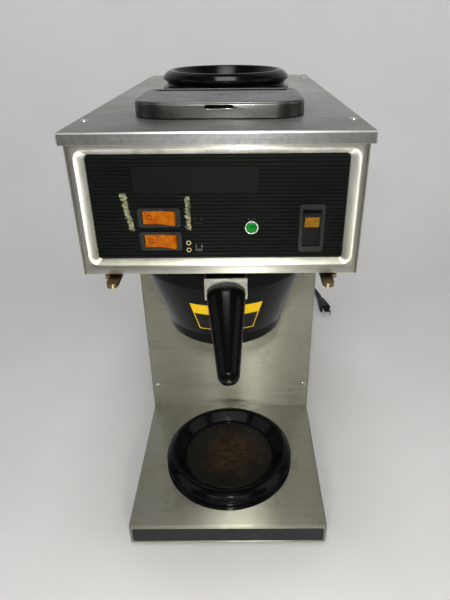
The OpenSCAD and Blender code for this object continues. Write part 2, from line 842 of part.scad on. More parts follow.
module funnel_bowl() {
    color([0.05, 0.05, 0.05]) placed() funnel_set() translate([0, warmer_y, flange_z])
        rotate_extrude($fn = 96) polygon([[75, flange_t], [flange_r, flange_t], [flange_r, 0],
            [77.2, 0], [77.2, -20.5], [75.2, -26.5], [70, -41.5], [57.7, -77.5],
            [base_r, base_top], [base_r - 2.2, base_top], [base_r - 2.2, -78.6], [55.5, -76.6],
            [67.9, -40.8], [73, -26], [75, -20]]);
}

// The dished floor welded under the cone: a band, the grid's ledge, the floor and the outlet.
module funnel_base() {
    color([0.05, 0.05, 0.05]) placed() funnel_set() translate([0, warmer_y, flange_z])
        rotate_extrude($fn = 96) polygon([[base_r, base_top], [base_r, -88], [53.6, -90.4],
            [44, -94], [30, -99], [12, -104], [8, -104], [8, -112], [3.2, -112], [3.2, -101.8],
            [11.4, -101.8], [29.4, -96.8], [43.2, -92], [46.6, -90.5], [46.6, grid_z],
            [base_r - 2.2, grid_z], [base_r - 2.2, base_top]]);
}

// The perforated disc that keeps the paper filter off the outlet.
module filter_grid() {
    color("silver") placed() funnel_set() translate([0, warmer_y, flange_z + grid_z]) difference() {
        cylinder(r = 52, h = 2, $fn = 96);
        for (ring = [1, 2, 3], i = [0:6 * ring - 1]) rotate([0, 0, i * 60 / ring])
            translate([ring * 14, 0, -1]) cylinder(r = 3.4, h = 4, $fn = 24);
    }
}

// Places children on the handle's middle line: +Z runs out towards the tip.
module along_handle() {
    translate([0, root_y, root_z]) rotate([90 + handle_droop, 0, 0]) children();
}

// A bent steel channel that joins the handle to the funnel's straight upper band.
module handle_bracket() {
    color("silver") placed() funnel_set() difference() {
        span([-bracket_w / 2, 0, bracket_z - bracket_h / 2],
            [bracket_w / 2, 22, bracket_z + bracket_h / 2]);
        span([-bracket_w / 2 + 1.5, 1.5, bracket_z - bracket_h],
            [bracket_w / 2 - 1.5, 23, bracket_z + bracket_h]);
        rod_z(77.25, 200, 400, 0, warmer_y, $fn = 96);
        along_handle() translate([0, 0, -15]) cylinder(r = bolt_r + 0.05, h = 30);
    }
}

module funnel_handle() {
    color([0.04, 0.04, 0.04]) placed() funnel_set() difference() {
        hull() {
            along_handle() scale([handle_root_r / handle_half_t, 1, 1])
                sphere(handle_half_t, $fn = hull_fn);
            along_handle() translate([0, 0, handle_len]) sphere(handle_tip_r, $fn = hull_fn);
        }
        span([-30, -0.05, 200], [30, 30, 400]);
        along_handle() translate([0, 0, -15]) cylinder(r = bolt_r + 0.05, h = 100);
        along_handle() translate([0, 0, handle_len + 3]) cylinder(r = 4.6, h = 20);
    }
}

module handle_bolt() {
    color("gray") placed() funnel_set() along_handle() {
        translate([0, 0, -6]) cylinder(r = bolt_r, h = handle_len + 9.5);
        translate([0, 0, handle_len + 3]) cylinder(r = 4.3, h = 2.5);
    }
}

// A thin sticker wrapped on the cone in front.
module funnel_label() {
    half_angle = 26.5;
    top = -38.7;
    bottom = -69.5;
    slope = (70 - 57.7) / (77.5 - 41.5);
    top_r = 70 + (top + 41.5) * slope;
    low_r = 70 + (bottom + 41.5) * slope;
    color("gold") placed() funnel_set() translate([0, warmer_y, flange_z])
        rotate([0, 0, 270 - half_angle]) rotate_extrude(angle = 2 * half_angle, $fn = 96)
            polygon([[low_r + 0.05, bottom], [low_r + 0.3, bottom], [top_r + 0.3, top],
                [top_r + 0.05, top]]);
}

// ---------- Cord ----------

module cord_gland() {
    color("black") placed() translate([gland_x, body_d, gland_z]) rotate([-90, 0, 0])
        rotate_extrude() polygon([[0, -sheet_t - 5], [10.5, -sheet_t - 5], [10.5, -sheet_t],
            [7.9, -sheet_t], [7.9, 0], [10.5, 0], [10.5, 3], [7, 4.5], [4.9, gland_len],
            [0, gland_len]]);
}

// Route from the gland down onto the coil, and from the coil round to the plug.
run_route = [[70, 443, 55], [70, 450, 55], [70.6, 458, 53], [71.7, 466, 49.6], [73, 474, 44.8],
    [74, 482, 39], [73.6, 490, 33], [71.8, 498, 27], [68.4, 505.5, 21.8], [63.6, 512, 17.4],
    [57.5, 517, 14]];
lead_route = [[74.5, 480, 3.75], [77.6, 496, 3.75], [80, 512, 3.75], [82.6, 528, 3.75],
    [86, 544, 3.75], [91, 560, 3.75], [98, 575, 3.75], [108, 587, 3.75], [120.5, 594, 3.75],
    [134, 596, 3.75], [147, 592.6, 4.2], [158, 584.6, 5.2], [165.6, 574, 6.4], [169.7, 562, 7.5]];
lead_end = [171.6, 550, 7.5];

function unit(v) = v / norm(v);
function way(p, i) = unit(p[min(i + 1, len(p) - 1)] - p[max(i - 1, 0)]);
function ring_at(c, d, r, sides) =
    let (side = unit(cross(d, [0, 0, 1])), up = cross(side, d))
    [for (k = [0:sides - 1]) c + r * (cos(360 * k / sides) * side + sin(360 * k / sides) * up)];

// A round tube swept through the points of a route.
module swept(p, r, sides = 10) {
    n = len(p);
    points = [for (i = [0:n - 1], q = ring_at(p[i], way(p, i), r, sides)) q];
    side_faces = [for (i = [0:n - 2], k = [0:sides - 1]) let (m = (k + 1) % sides)
        [i * sides + k, i * sides + m, (i + 1) * sides + m, (i + 1) * sides + k]];
    first = [for (k = [0:sides - 1]) sides - 1 - k];
    last = [for (k = [0:sides - 1]) (n - 1) * sides + k];
    polyhedron(points, concat([first], side_faces, [last]), convexity = 10);
}

module cord_run() {
    color("black") placed() swept(run_route, cord_r);
}

module cord_coil() {
    inner_r = coil_mid_r - coil_turns_w * cord_r;
    color("black") placed() translate([coil_x, coil_y, 0]) rotate_extrude()
        translate([inner_r, 0]) square([2 * coil_turns_w * cord_r, coil_turns_h * cord_dia]);
}

module cord_lead() {
    color("black") placed() swept(concat(lead_route, [lead_end]), cord_r);
}

// Places the plug: +Y runs back along the cord, and the blades point towards the front.
plug_face = [178.6, 489, 7.5];
plug_turn = 6.4;
plug_len = 34;
plug_tail = 61.4;   // where the strain relief ends
module at_plug() {
    placed() translate(plug_face) rotate([0, 0, plug_turn]) children();
}

module plug_body() {
    color("black") at_plug() {
        hull() {
            standing(0, 2) round_rect(20, 15, 4, $fn = hull_fn);
            standing(plug_len - 2, 2) round_rect(13, 12, 4, $fn = hull_fn);
        }
        translate([0, plug_len - 0.1, 0]) rotate([-90, 0, 0])
            cylinder(r1 = 5.2, r2 = 4.3, h = plug_tail - plug_len + 0.1);
    }
}

module plug_blades() {
    color("silver") at_plug() for (s = [-1, 1])
        span([s * 6.35 - 0.75, -19, -3.2], [s * 6.35 + 0.75, 0, 3.2]);
}

base_shell();
base_front_strip();
base_pan();
feet();
trunk_shell();
trunk_front_panel();
trunk_screws();
rear_cover();
rear_cover_screws();
head_shell();
head_front_frame();
control_panel();
top_lid();
lid_screws();
funnel_rails();
rail_screws();
lower_warmer_ring();
lower_warmer_plate();
lower_warmer_element();
upper_warmer_ring();
upper_warmer_plate();
upper_warmer_element();
warmer_nuts();
water_basin();
tank_shelf();
tank();
tank_gasket();
tank_lid();
tank_heater();
thermostat();
limit_thermostat();
fill_tube();
spray_tube();
spray_head();
terminal_block();
upper_switch_body();
upper_switch_rocker();
lower_switch_body();
lower_switch_rocker();
power_switch_body();
power_switch_rocker();
power_lens();
ready_lamp_bezel();
ready_lamp_lens();
pour_collar();
pour_cover();
cover_hinge_pins();
funnel_bowl();
funnel_base();
filter_grid();
handle_bracket();
funnel_handle();
handle_bolt();
funnel_label();
cord_gland();
cord_run();
cord_coil();
cord_lead();
plug_body();
plug_blades();
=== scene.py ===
"""Looks for the pour-over coffee brewer. Lengths are metres unless a name ends in _MM."""

import math
import random

import bmesh
import bpy
from mathutils import Matrix, Vector
from mathutils.bvhtree import BVHTree


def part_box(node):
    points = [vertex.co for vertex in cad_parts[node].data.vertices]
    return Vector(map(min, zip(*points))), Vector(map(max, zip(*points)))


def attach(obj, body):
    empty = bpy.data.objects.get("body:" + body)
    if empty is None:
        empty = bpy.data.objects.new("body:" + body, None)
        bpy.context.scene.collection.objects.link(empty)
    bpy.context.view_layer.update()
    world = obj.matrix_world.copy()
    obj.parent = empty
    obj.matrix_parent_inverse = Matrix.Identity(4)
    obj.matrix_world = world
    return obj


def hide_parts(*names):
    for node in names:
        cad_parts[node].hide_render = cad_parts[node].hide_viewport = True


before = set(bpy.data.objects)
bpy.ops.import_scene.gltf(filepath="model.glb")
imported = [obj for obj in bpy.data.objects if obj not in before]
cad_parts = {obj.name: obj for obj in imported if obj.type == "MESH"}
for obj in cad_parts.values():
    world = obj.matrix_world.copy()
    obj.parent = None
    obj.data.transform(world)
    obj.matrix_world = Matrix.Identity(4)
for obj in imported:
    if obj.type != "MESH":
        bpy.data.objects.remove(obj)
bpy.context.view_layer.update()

MM = 0.001
BODY = "brewer"
FUNNEL = "funnel"
COVER = "cover"

# ---------- Places taken from the frame ----------


def low(node):
    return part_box(node)[0]


def high(node):
    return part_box(node)[1]


def middle(node):
    lo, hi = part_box(node)
    return (lo + hi) / 2


FRONT_Y = low("base_shell").y


def linked(name, data):
    """A new object in the scene."""
    made = bpy.data.objects.new(name, data)
    bpy.context.scene.collection.objects.link(made)
    return made


# ---------- Camera ----------

CAMERA_AT = Vector((0.0166, FRONT_Y - 0.3423, 0.4986))
CAMERA_PITCH = math.radians(28.03)
CAMERA_YAW = math.radians(-0.305)
CAMERA_ROLL = math.radians(-0.488)
CAMERA_LENS = 29.67
CAMERA_SHIFT = (-0.0244, -0.0211)


def make_camera():
    """A phone camera held above and in front, tipped down at the brewer."""
    forward = Vector((math.sin(CAMERA_YAW) * math.cos(CAMERA_PITCH),
                      math.cos(CAMERA_YAW) * math.cos(CAMERA_PITCH), -math.sin(CAMERA_PITCH)))
    level = Vector((math.cos(CAMERA_YAW), -math.sin(CAMERA_YAW), 0))
    upward = level.cross(forward)
    right = math.cos(CAMERA_ROLL) * level + math.sin(CAMERA_ROLL) * upward
    up = math.cos(CAMERA_ROLL) * upward - math.sin(CAMERA_ROLL) * level
    data = bpy.data.cameras.new("camera")
    data.sensor_width = 36
    data.lens = CAMERA_LENS
    data.shift_x, data.shift_y = CAMERA_SHIFT
    data.clip_start, data.clip_end = 0.01, 50
    camera = linked("camera", data)
    camera.matrix_world = Matrix.Translation(CAMERA_AT) @ Matrix((
        (right.x, up.x, -forward.x, 0), (right.y, up.y, -forward.y, 0),
        (right.z, up.z, -forward.z, 0), (0, 0, 0, 1)))
    bpy.context.scene.camera = camera


make_camera()

# ---------- Shader nodes ----------


def add_node(tree, kind, settings=None, **inputs):
    """A shader node with its settings and inputs. An input is a value or another node's socket."""
    made = tree.nodes.new(kind)
    for key, value in (settings or {}).items():
        setattr(made, key, value)
    for key, value in inputs.items():
        socket = made.inputs[int(key[1:])] if key[1:].isdigit() else made.inputs[key.replace("_", " ")]
        if isinstance(value, bpy.types.NodeSocket):
            tree.links.new(value, socket)
        else:
            socket.default_value = value
    return made


def new_material(name, colour, roughness, metallic=0.0, **sockets):
    """A material with one principled shader. Returns the material, its tree and the shader."""
    material = bpy.data.materials.new(name)
    material.use_nodes = True
    material.diffuse_color = (*colour, 1)
    tree = material.node_tree
    shader = tree.nodes["Principled BSDF"]
    shader.inputs["Base Color"].default_value = (*colour, 1)
    shader.inputs["Roughness"].default_value = roughness
    shader.inputs["Metallic"].default_value = metallic
    for key, value in sockets.items():
        shader.inputs[key.replace("_", " ")].default_value = value
    return material, tree, shader


def place(tree, scale=(1, 1, 1), offset=(0, 0, 0)):
    """Object coordinates, scaled and moved. They are the row frame's metres."""
    at = add_node(tree, "ShaderNodeTexCoord").outputs["Object"]
    return add_node(tree, "ShaderNodeMapping", {"vector_type": "POINT"}, Vector=at, Scale=scale,
                    Location=offset).outputs[0]


def noise(tree, vector, scale=1.0, detail=2.0, rough=0.5):
    return add_node(tree, "ShaderNodeTexNoise", None, Vector=vector, Scale=scale, Detail=detail,
                    Roughness=rough).outputs["Fac"]


def spread(tree, value, a, b, c=0.0, d=1.0):
    """Maps a value from the range a to b onto c to d, held at the ends."""
    return add_node(tree, "ShaderNodeMapRange", {"clamp": True}, _0=value, _1=a, _2=b, _3=c, _4=d).outputs[0]


def blend_colour(tree, share, a, b):
    mix = add_node(tree, "ShaderNodeMix", {"data_type": "RGBA"}, _0=share)
    for index, value in ((6, a), (7, b)):
        if isinstance(value, bpy.types.NodeSocket):
            tree.links.new(value, mix.inputs[index])
        else:
            mix.inputs[index].default_value = (*value, 1)
    return mix.outputs[2]


def arithmetic(tree, kind, a, b=0.0, c=0.0):
    return add_node(tree, "ShaderNodeMath", {"operation": kind}, _0=a, _1=b, _2=c).outputs[0]


def bump(tree, shader, height, strength, distance, under=None):
    made = add_node(tree, "ShaderNodeBump", None, Height=height, Strength=strength, Distance=distance)
    if under is not None:
        tree.links.new(under, made.inputs["Normal"])
    tree.links.new(made.outputs[0], shader.inputs["Normal"])
    return made.outputs[0]


def dimmed(colour, share):
    return tuple(x * share for x in colour)


def brush_lines(tree, shader, fine, long, streak):
    """Brushing along X, or along Y on faces that look sideways, with gloss that streaks across it."""
    faces = add_node(tree, "ShaderNodeTexCoord").outputs["Normal"]
    across = add_node(tree, "ShaderNodeSeparateXYZ", None, Vector=faces).outputs[0]
    side = arithmetic(tree, "GREATER_THAN", arithmetic(tree, "ABSOLUTE", across), 0.8)
    along_x = noise(tree, place(tree, (long, fine, fine)), 1, 3, 0.6)
    along_y = noise(tree, place(tree, (fine, long, fine)), 1, 3, 0.6)
    lines = add_node(tree, "ShaderNodeMix", {"data_type": "FLOAT"}, _0=side, _2=along_x, _3=along_y)
    way = add_node(tree, "ShaderNodeMix", {"data_type": "VECTOR"}, _0=side, _4=(1, 0, 0), _5=(0, 1, 0))
    crossed = add_node(tree, "ShaderNodeVectorMath", {"operation": "CROSS_PRODUCT"}, _0=faces,
                       _1=way.outputs[1])
    tree.links.new(crossed.outputs[0], shader.inputs["Tangent"])
    shader.inputs["Anisotropic"].default_value = streak
    return lines.outputs[0]


def faces_along(tree, axis, low_value, high_value):
    """How far a face looks along an axis of the row frame, as a share from 0 to 1."""
    faces = add_node(tree, "ShaderNodeTexCoord").outputs["Normal"]
    along = add_node(tree, "ShaderNodeSeparateXYZ", None, Vector=faces).outputs[axis]
    return spread(tree, along, low_value, high_value)


def brushed_steel(name, colour, roughness, line_depth=0.35, dirt=0.5, streak=0.85, front=1.0):
    """Brushed stainless sheet with greasy patches, a faint tint and long scratches.

    front paints speckled shade onto the faces that look straight to the front, and makes them duller.
    """
    material, tree, shader = new_material(name, colour, roughness, 1.0)
    lines = brush_lines(tree, shader, 1500, 7, streak)
    patches = noise(tree, place(tree), 9, 4, 0.6)
    grime = noise(tree, place(tree, offset=(3, 1, 2)), 38, 5, 0.65)
    tint = tuple(x * y for x, y in zip(colour, (0.8, 0.79, 0.72)))
    shade = spread(tree, patches, 0.35, 0.7)
    toned = blend_colour(tree, shade, colour, tint)
    dull = dimmed(tint, 0.62)
    streaked = blend_colour(tree, spread(tree, lines, 0.3, 0.75, 0, 0.3), toned, dull)
    soiled_and_front_shaded = blend_colour(tree, spread(tree, grime, 0.58, 0.8, 0, dirt), streaked, dull)
    # Painted shade: faces that look straight to the front are darkened towards front times the colour, in
    # specks.
    if front < 1:
        specks = spread(tree, noise(tree, place(tree, offset=(2, 7, 4)), 260, 3, 0.7), 0.35, 0.7, 0.3, 1)
        share = arithmetic(tree, "MULTIPLY", faces_along(tree, 1, -0.9, -0.99), specks)
        soiled_and_front_shaded = blend_colour(tree, share, soiled_and_front_shaded, dimmed(colour, front))
    tree.links.new(soiled_and_front_shaded, shader.inputs["Base Color"])
    rough = arithmetic(tree, "ADD", spread(tree, lines, 0.3, 0.7, roughness * 0.75, roughness * 1.2),
                       spread(tree, patches, 0.4, 0.75, 0, 0.14))
    if front < 1:
        rough = arithmetic(tree, "ADD", rough, spread(tree, faces_along(tree, 1, -0.9, -0.99), 0, 1, 0, 0.3))
    tree.links.new(rough, shader.inputs["Roughness"])
    bump(tree, shader, lines, line_depth, 0.0002)
    return material


def lid_steel():
    """The lid's steel, a darker copy of the body's steel as painted shade: a brownish painted dark reflection
    round the front of the pour cover, speckled painted shade on the dull front lip and a painted highlight
    along the front fold.
    """
    # Painted shade: the lid is the body's stainless, given a darker colour than the body's, with painted shade
    # on its front lip (front 0.62).
    colour = (0.36, 0.358, 0.355)
    material = brushed_steel("lid_stainless", colour, 0.36, 0.3, 0.4, 0.7, 0.62)
    tree = material.node_tree
    shader = tree.nodes["Principled BSDF"]
    under = shader.inputs["Base Color"].links[0].from_socket
    here = add_node(tree, "ShaderNodeSeparateXYZ", None, Vector=place(tree))
    blur = spread(tree, noise(tree, place(tree), 20, 3, 0.5), 0.3, 0.7, -0.012, 0.012)
    across = arithmetic(tree, "ADD", arithmetic(tree, "ABSOLUTE", here.outputs[0]), blur)
    inner = spread(tree, across, 0.045, 0.105, 1, 0)
    ahead = spread(tree, arithmetic(tree, "ADD", here.outputs[1], blur), -0.1, 0.05, 1, 0)
    top = faces_along(tree, 2, 0.8, 0.98)
    share = arithmetic(tree, "MULTIPLY", arithmetic(tree, "MULTIPLY", inner, ahead), top)
    # Painted dark reflection: top faces round the front of the pour cover are darkened towards a dark brownish
    # grey.
    painted_dark_round_cover = blend_colour(tree, arithmetic(tree, "MULTIPLY", share, 0.85), under, (0.08, 0.078, 0.068))
    # Painted highlight: the rounded fold between the top and the front lip is painted near white.
    fold_highlight_mask = arithmetic(tree, "MULTIPLY", faces_along(tree, 1, -0.2, -0.5), faces_along(tree, 1, -0.97, -0.9))
    tree.links.new(blend_colour(tree, fold_highlight_mask, painted_dark_round_cover, (1, 1, 0.97)), shader.inputs["Base Color"])
    return material


def polished_steel(name, colour, roughness, ripple=0.12):
    """Bright pressed steel: soft waviness, wiped smears and fine pits."""
    material, tree, shader = new_material(name, colour, roughness, 1.0)
    smear = noise(tree, place(tree, (30, 55, 30)), 1, 4, 0.6)
    pits = noise(tree, place(tree), 900, 2, 0.5)
    tree.links.new(spread(tree, smear, 0.35, 0.75, roughness, roughness + 0.16), shader.inputs["Roughness"])
    tree.links.new(blend_colour(tree, spread(tree, smear, 0.5, 0.8, 0, 0.45), colour,
                                dimmed(colour, 0.7)), shader.inputs["Base Color"])
    wave = noise(tree, place(tree), 22, 2, 0.4)
    bent = bump(tree, shader, wave, ripple, 0.004)
    bump(tree, shader, pits, 0.05, 0.0001, bent)
    return material


def moulded(name, colour, roughness, grain=700, depth=0.08, dust=0.25, metallic=0.0, **sockets):
    """Moulded plastic or paint: a fine skin, wiped patches and a little dust."""
    material, tree, shader = new_material(name, colour, roughness, metallic, **sockets)
    skin = noise(tree, place(tree), grain, 2, 0.5)
    wiped = noise(tree, place(tree, offset=(1, 2, 3)), 26, 4, 0.6)
    specks = noise(tree, place(tree, offset=(5, 5, 1)), 420, 3, 0.7)
    pale = tuple(min(1.0, x * 1.25 + 0.05) for x in colour)
    patchy = blend_colour(tree, spread(tree, wiped, 0.45, 0.8, 0, dust * 0.5), colour, pale)
    dusty = blend_colour(tree, spread(tree, specks, 0.66, 0.8, 0, dust), patchy, pale)
    tree.links.new(dusty, shader.inputs["Base Color"])
    tree.links.new(spread(tree, wiped, 0.3, 0.75, roughness * 0.75, roughness * 1.35),
                   shader.inputs["Roughness"])
    bump(tree, shader, skin, depth, 0.0003)
    return material


def lens(name, colour, glow, roughness=0.16):
    """Tinted clear plastic over a pale inside, lighter where it is worn."""
    material, tree, shader = new_material(name, colour, roughness, 0.0, Subsurface_Weight=0.2,
                                          Specular_IOR_Level=0.15)
    shader.inputs["Subsurface Radius"].default_value = (0.004, 0.002, 0.001)
    shader.inputs["Subsurface Scale"].default_value = 0.3
    cloud = noise(tree, place(tree), 260, 3, 0.6)
    tree.links.new(blend_colour(tree, spread(tree, cloud, 0.35, 0.7), colour, glow),
                   shader.inputs["Base Color"])
    bump(tree, shader, noise(tree, place(tree), 1200, 2, 0.5), 0.05, 0.0001)
    return material


def enamel_plate(name, node):
    """Black enamel, burnt brown in the middle, with chipped spots and dried drips."""
    centre = middle(node)
    radius = (high(node).x - low(node).x) / 2
    material, tree, shader = new_material(name, (0.01, 0.008, 0.006), 0.4, Specular_IOR_Level=0.25)
    here = add_node(tree, "ShaderNodeTexCoord").outputs["Object"]
    away = add_node(tree, "ShaderNodeVectorMath", {"operation": "DISTANCE"}, _0=here,
                    _1=(centre.x + 0.004, centre.y + 0.002, high(node).z)).outputs["Value"]
    ragged = arithmetic(tree, "ADD", arithmetic(tree, "DIVIDE", away, radius),
                        spread(tree, noise(tree, place(tree), 55, 5, 0.7), 0.3, 0.7, -0.25, 0.25))
    burnt = spread(tree, ragged, 0.25, 0.85, 1, 0)
    soot = noise(tree, place(tree), 150, 5, 0.75)
    brown = blend_colour(tree, spread(tree, soot, 0.4, 0.65), (0.012, 0.006, 0.003), (0.05, 0.026, 0.013))
    base = blend_colour(tree, burnt, (0.006, 0.006, 0.005), brown)
    chips = spread(tree, noise(tree, place(tree, offset=(9, 2, 4)), 330, 2, 0.5), 0.7, 0.74, 0, 0.5)
    tree.links.new(blend_colour(tree, chips, base, (0.12, 0.1, 0.08)), shader.inputs["Base Color"])
    tree.links.new(spread(tree, soot, 0.35, 0.7, 0.22, 0.5), shader.inputs["Roughness"])
    bump(tree, shader, soot, 0.25, 0.0004)
    return material


def cloth_floor():
    material, tree, shader = new_material("pale_floor", (0.82, 0.82, 0.84), 0.9)
    soft = noise(tree, place(tree), 5, 4, 0.5)
    # Painted light: the one pale cloth is painted lighter where it rises into the backdrop than on the floor,
    # blending over the first 0.35 m of height.
    wall_painted_lighter = blend_colour(tree, soft, (0.76, 0.76, 0.79), (0.84, 0.84, 0.87))
    ground = blend_colour(tree, soft, (0.56, 0.56, 0.56), (0.67, 0.67, 0.67))
    height = add_node(tree, "ShaderNodeSeparateXYZ", None, Vector=place(tree)).outputs[2]
    tree.links.new(blend_colour(tree, spread(tree, height, 0.0, 0.35), ground, wall_painted_lighter),
                   shader.inputs["Base Color"])
    return material


STEEL = brushed_steel("brushed_stainless", (0.44, 0.44, 0.375), 0.42, 0.3, 0.6, 0.97)
LID_STEEL = lid_steel()
BRIGHT = polished_steel("bright_steel", (0.66, 0.66, 0.62), 0.16)
# Painted dark reflection: the pour cover's polished steel gets a near-black colour, far darker than the other
# bright steel.
COVER_STEEL = polished_steel("cover_steel", (0.1, 0.099, 0.093), 0.26, 0.1)
# Painted shade: the handle bracket's stainless gets a much darker colour than the body's brushed steel.
BRACKET_STEEL = brushed_steel("bracket_steel", (0.17, 0.168, 0.155), 0.42, 0.2, 0.6, 0.5)
RAIL_BRASS = polished_steel("rail_plating", (0.24, 0.19, 0.1), 0.3)
PLATED = polished_steel("plated_steel", (0.42, 0.38, 0.3), 0.32)
TANK_STEEL = brushed_steel("tank_stainless", (0.66, 0.66, 0.66), 0.26, 0.2, 0.1)
GLOSS_BLACK = moulded("black_phenolic", (0.003, 0.003, 0.004), 0.13, 500, 0.04, 0.03, Specular_IOR_Level=0.1)
HANDLE_BLACK = moulded("handle_black", (0.002, 0.002, 0.002), 0.16, 600, 0.05, 0.02, Specular_IOR_Level=0.07)
BEZEL_BLACK = moulded("bezel_black", (0.012, 0.014, 0.013), 0.3, 900, 0.1, 0.2, Specular_IOR_Level=0.3)
ROCKER_BLACK = moulded("rocker_black", (0.003, 0.003, 0.003), 0.22, 900, 0.08, 0.06, Specular_IOR_Level=0.15)
RUBBER = moulded("rubber_black", (0.008, 0.008, 0.008), 0.5, 900, 0.2, 0.1, Specular_IOR_Level=0.2)
GASKET = moulded("gasket_red", (0.4, 0.1, 0.06), 0.6, 900, 0.15, 0.2)
CERAMIC = moulded("ceramic", (0.8, 0.78, 0.7), 0.3, 500, 0.05, 0.1)
ELEMENT = moulded("element_sheath", (0.25, 0.24, 0.23), 0.5, 700, 0.15, 0.3, 0.8)
ORANGE = lens("orange_rocker", (0.3, 0.06, 0.001), (0.44, 0.13, 0.003))
AMBER = lens("amber_lens", (0.17, 0.075, 0.001), (0.27, 0.13, 0.003))
GREEN = lens("green_lens", (0.001, 0.12, 0.008), (0.003, 0.24, 0.02))


def worn_panel():
    """Matt black panel with two ragged strips of old yellowed glue beside the upper switch."""
    material = moulded("panel_black", (0.002, 0.003, 0.0025), 0.55, 900, 0.1, 0.04, Specular_IOR_Level=0.12)
    tree = material.node_tree
    shader = tree.nodes["Principled BSDF"]
    under = shader.inputs["Base Color"].links[0].from_socket
    here = add_node(tree, "ShaderNodeSeparateXYZ", None, Vector=place(tree, (1000, 1000, 1000)))
    ragged = spread(tree, noise(tree, place(tree, offset=(4, 4, 4)), 240, 4, 0.7), 0.3, 0.7, -1.3, 1.3)
    strips = None
    for x, lean, z, half_x, half_z in ((-67.2, -0.16, 377, 1.6, 13.5), (-22.8, 0.0, 376, 1.3, 12)):
        up = arithmetic(tree, "SUBTRACT", here.outputs[2], z)
        across = arithmetic(tree, "SUBTRACT", arithmetic(tree, "SUBTRACT", here.outputs[0], x),
                            arithmetic(tree, "MULTIPLY", up, lean))
        wide = arithmetic(tree, "ADD", arithmetic(tree, "ABSOLUTE", across), ragged)
        tall = arithmetic(tree, "ADD", arithmetic(tree, "ABSOLUTE", up), ragged)
        strip = arithmetic(tree, "MULTIPLY", spread(tree, wide, half_x, half_x + 0.6, 1, 0),
                           spread(tree, tall, half_z, half_z + 1.5, 1, 0))
        strips = strip if strips is None else arithmetic(tree, "MAXIMUM", strips, strip)
    blotch = spread(tree, noise(tree, place(tree), 300, 3, 0.6), 0.35, 0.65)
    glue = blend_colour(tree, blotch, (0.05, 0.055, 0.03), (0.34, 0.34, 0.2))
    tree.links.new(blend_colour(tree, strips, under, glue), shader.inputs["Base Color"])
    return material


PANEL_BLACK = worn_panel()
ORANGE_DARK = lens("orange_mark", (0.12, 0.014, 0.001), (0.2, 0.03, 0.001))
PRINT_GOLD = moulded("print_gold", (0.5, 0.42, 0.2), 0.5, 700, 0.04, 0.3)
PRINT_GREY = moulded("print_grey", (0.1, 0.1, 0.09), 0.6, 700, 0.04, 0.3)
YELLOW = moulded("label_yellow", (0.78, 0.5, 0.004), 0.45, 700, 0.04, 0.05, Specular_IOR_Level=0.2)
LABEL_BLACK = moulded("label_black", (0.008, 0.007, 0.006), 0.5, 700, 0.04, 0.1, Specular_IOR_Level=0.15)

# ---------- Mesh tools ----------


def new_piece(name, verts, faces, material, body=BODY, nodes=(), slot=None, smooth=40):
    """A mesh piece that rides on a body and stands for CAD nodes."""
    mesh = bpy.data.meshes.new(name)
    mesh.from_pydata([tuple(v) for v in verts], [], [tuple(f) for f in faces])
    mesh.validate()
    work = bmesh.new()
    work.from_mesh(mesh)
    bmesh.ops.remove_doubles(work, verts=work.verts, dist=1e-6)
    bmesh.ops.dissolve_degenerate(work, edges=work.edges, dist=1e-7)
    bmesh.ops.recalc_face_normals(work, faces=work.faces)
    work.to_mesh(mesh)
    work.free()
    made = linked(name, mesh)
    return dress(made, material, body, nodes, slot, smooth)


def dress(made, material, body, nodes=(), slot=None, smooth=40):
    """Gives a piece its material, shading, body and CAD nodes. slot is not used."""
    made.data.materials.clear()
    made.data.materials.append(material)
    made.data.polygons.foreach_set("use_smooth", [True] * len(made.data.polygons))
    made.data.set_sharp_from_angle(angle=math.radians(smooth))
    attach(made, body)
    if nodes:
        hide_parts(*nodes)
    return made


def soften(made, width, segments=2, angle=35):
    """Rounds the sharp edges of a piece, with flat faces kept flat."""
    bevel = made.modifiers.new("bevel", "BEVEL")
    bevel.width = width
    bevel.segments = segments
    bevel.limit_method = "ANGLE"
    bevel.angle_limit = math.radians(angle)
    bevel.harden_normals = True
    bevel.use_clamp_overlap = True
    return made


def refined(node, material, body, bevel, slot=None, segments=2, name=None, angle=35):
    """A CAD node's own shape with its edges rounded."""
    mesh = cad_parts[node].data.copy()
    mesh.name = name or node + "_skin"
    work = bmesh.new()
    work.from_mesh(mesh)
    bmesh.ops.remove_doubles(work, verts=work.verts, dist=2e-6)
    bmesh.ops.dissolve_limit(work, angle_limit=math.radians(0.5), verts=work.verts, edges=work.edges)
    for face in work.faces:
        face.smooth = True
    work.to_mesh(mesh)
    work.free()
    made = linked(name or node + "_skin", mesh)
    dress(made, material, body, [node], slot, angle)
    if bevel:
        soften(made, bevel, segments, angle)
    return made


def arc_points(profile, radii, steps=5):
    """A polyline with its corners rounded. radii gives one radius per corner of the profile."""
    count = len(profile)
    made = []
    for index, (point, radius) in enumerate(zip(profile, radii)):
        here = Vector(point)
        if radius <= 0 or index in (0, count - 1):
            made.append(tuple(here))
            continue
        back = (Vector(profile[index - 1]) - here)
        on = (Vector(profile[index + 1]) - here)
        half = back.angle(on) / 2
        if half > math.radians(89):
            made.append(tuple(here))
            continue
        reach = min(radius / math.tan(half), back.length * 0.48, on.length * 0.48)
        radius = reach * math.tan(half)
        start, stop = here + back.normalized() * reach, here + on.normalized() * reach
        centre = here + (back.normalized() + on.normalized()).normalized() * radius / math.sin(half)
        a, b = start - centre, stop - centre
        turn = a.angle(b)
        for step in range(steps + 1):
            share = step / steps
            made.append(tuple(centre + (a * math.sin((1 - share) * turn)
                                        + b * math.sin(share * turn)) / math.sin(turn)))
    return made


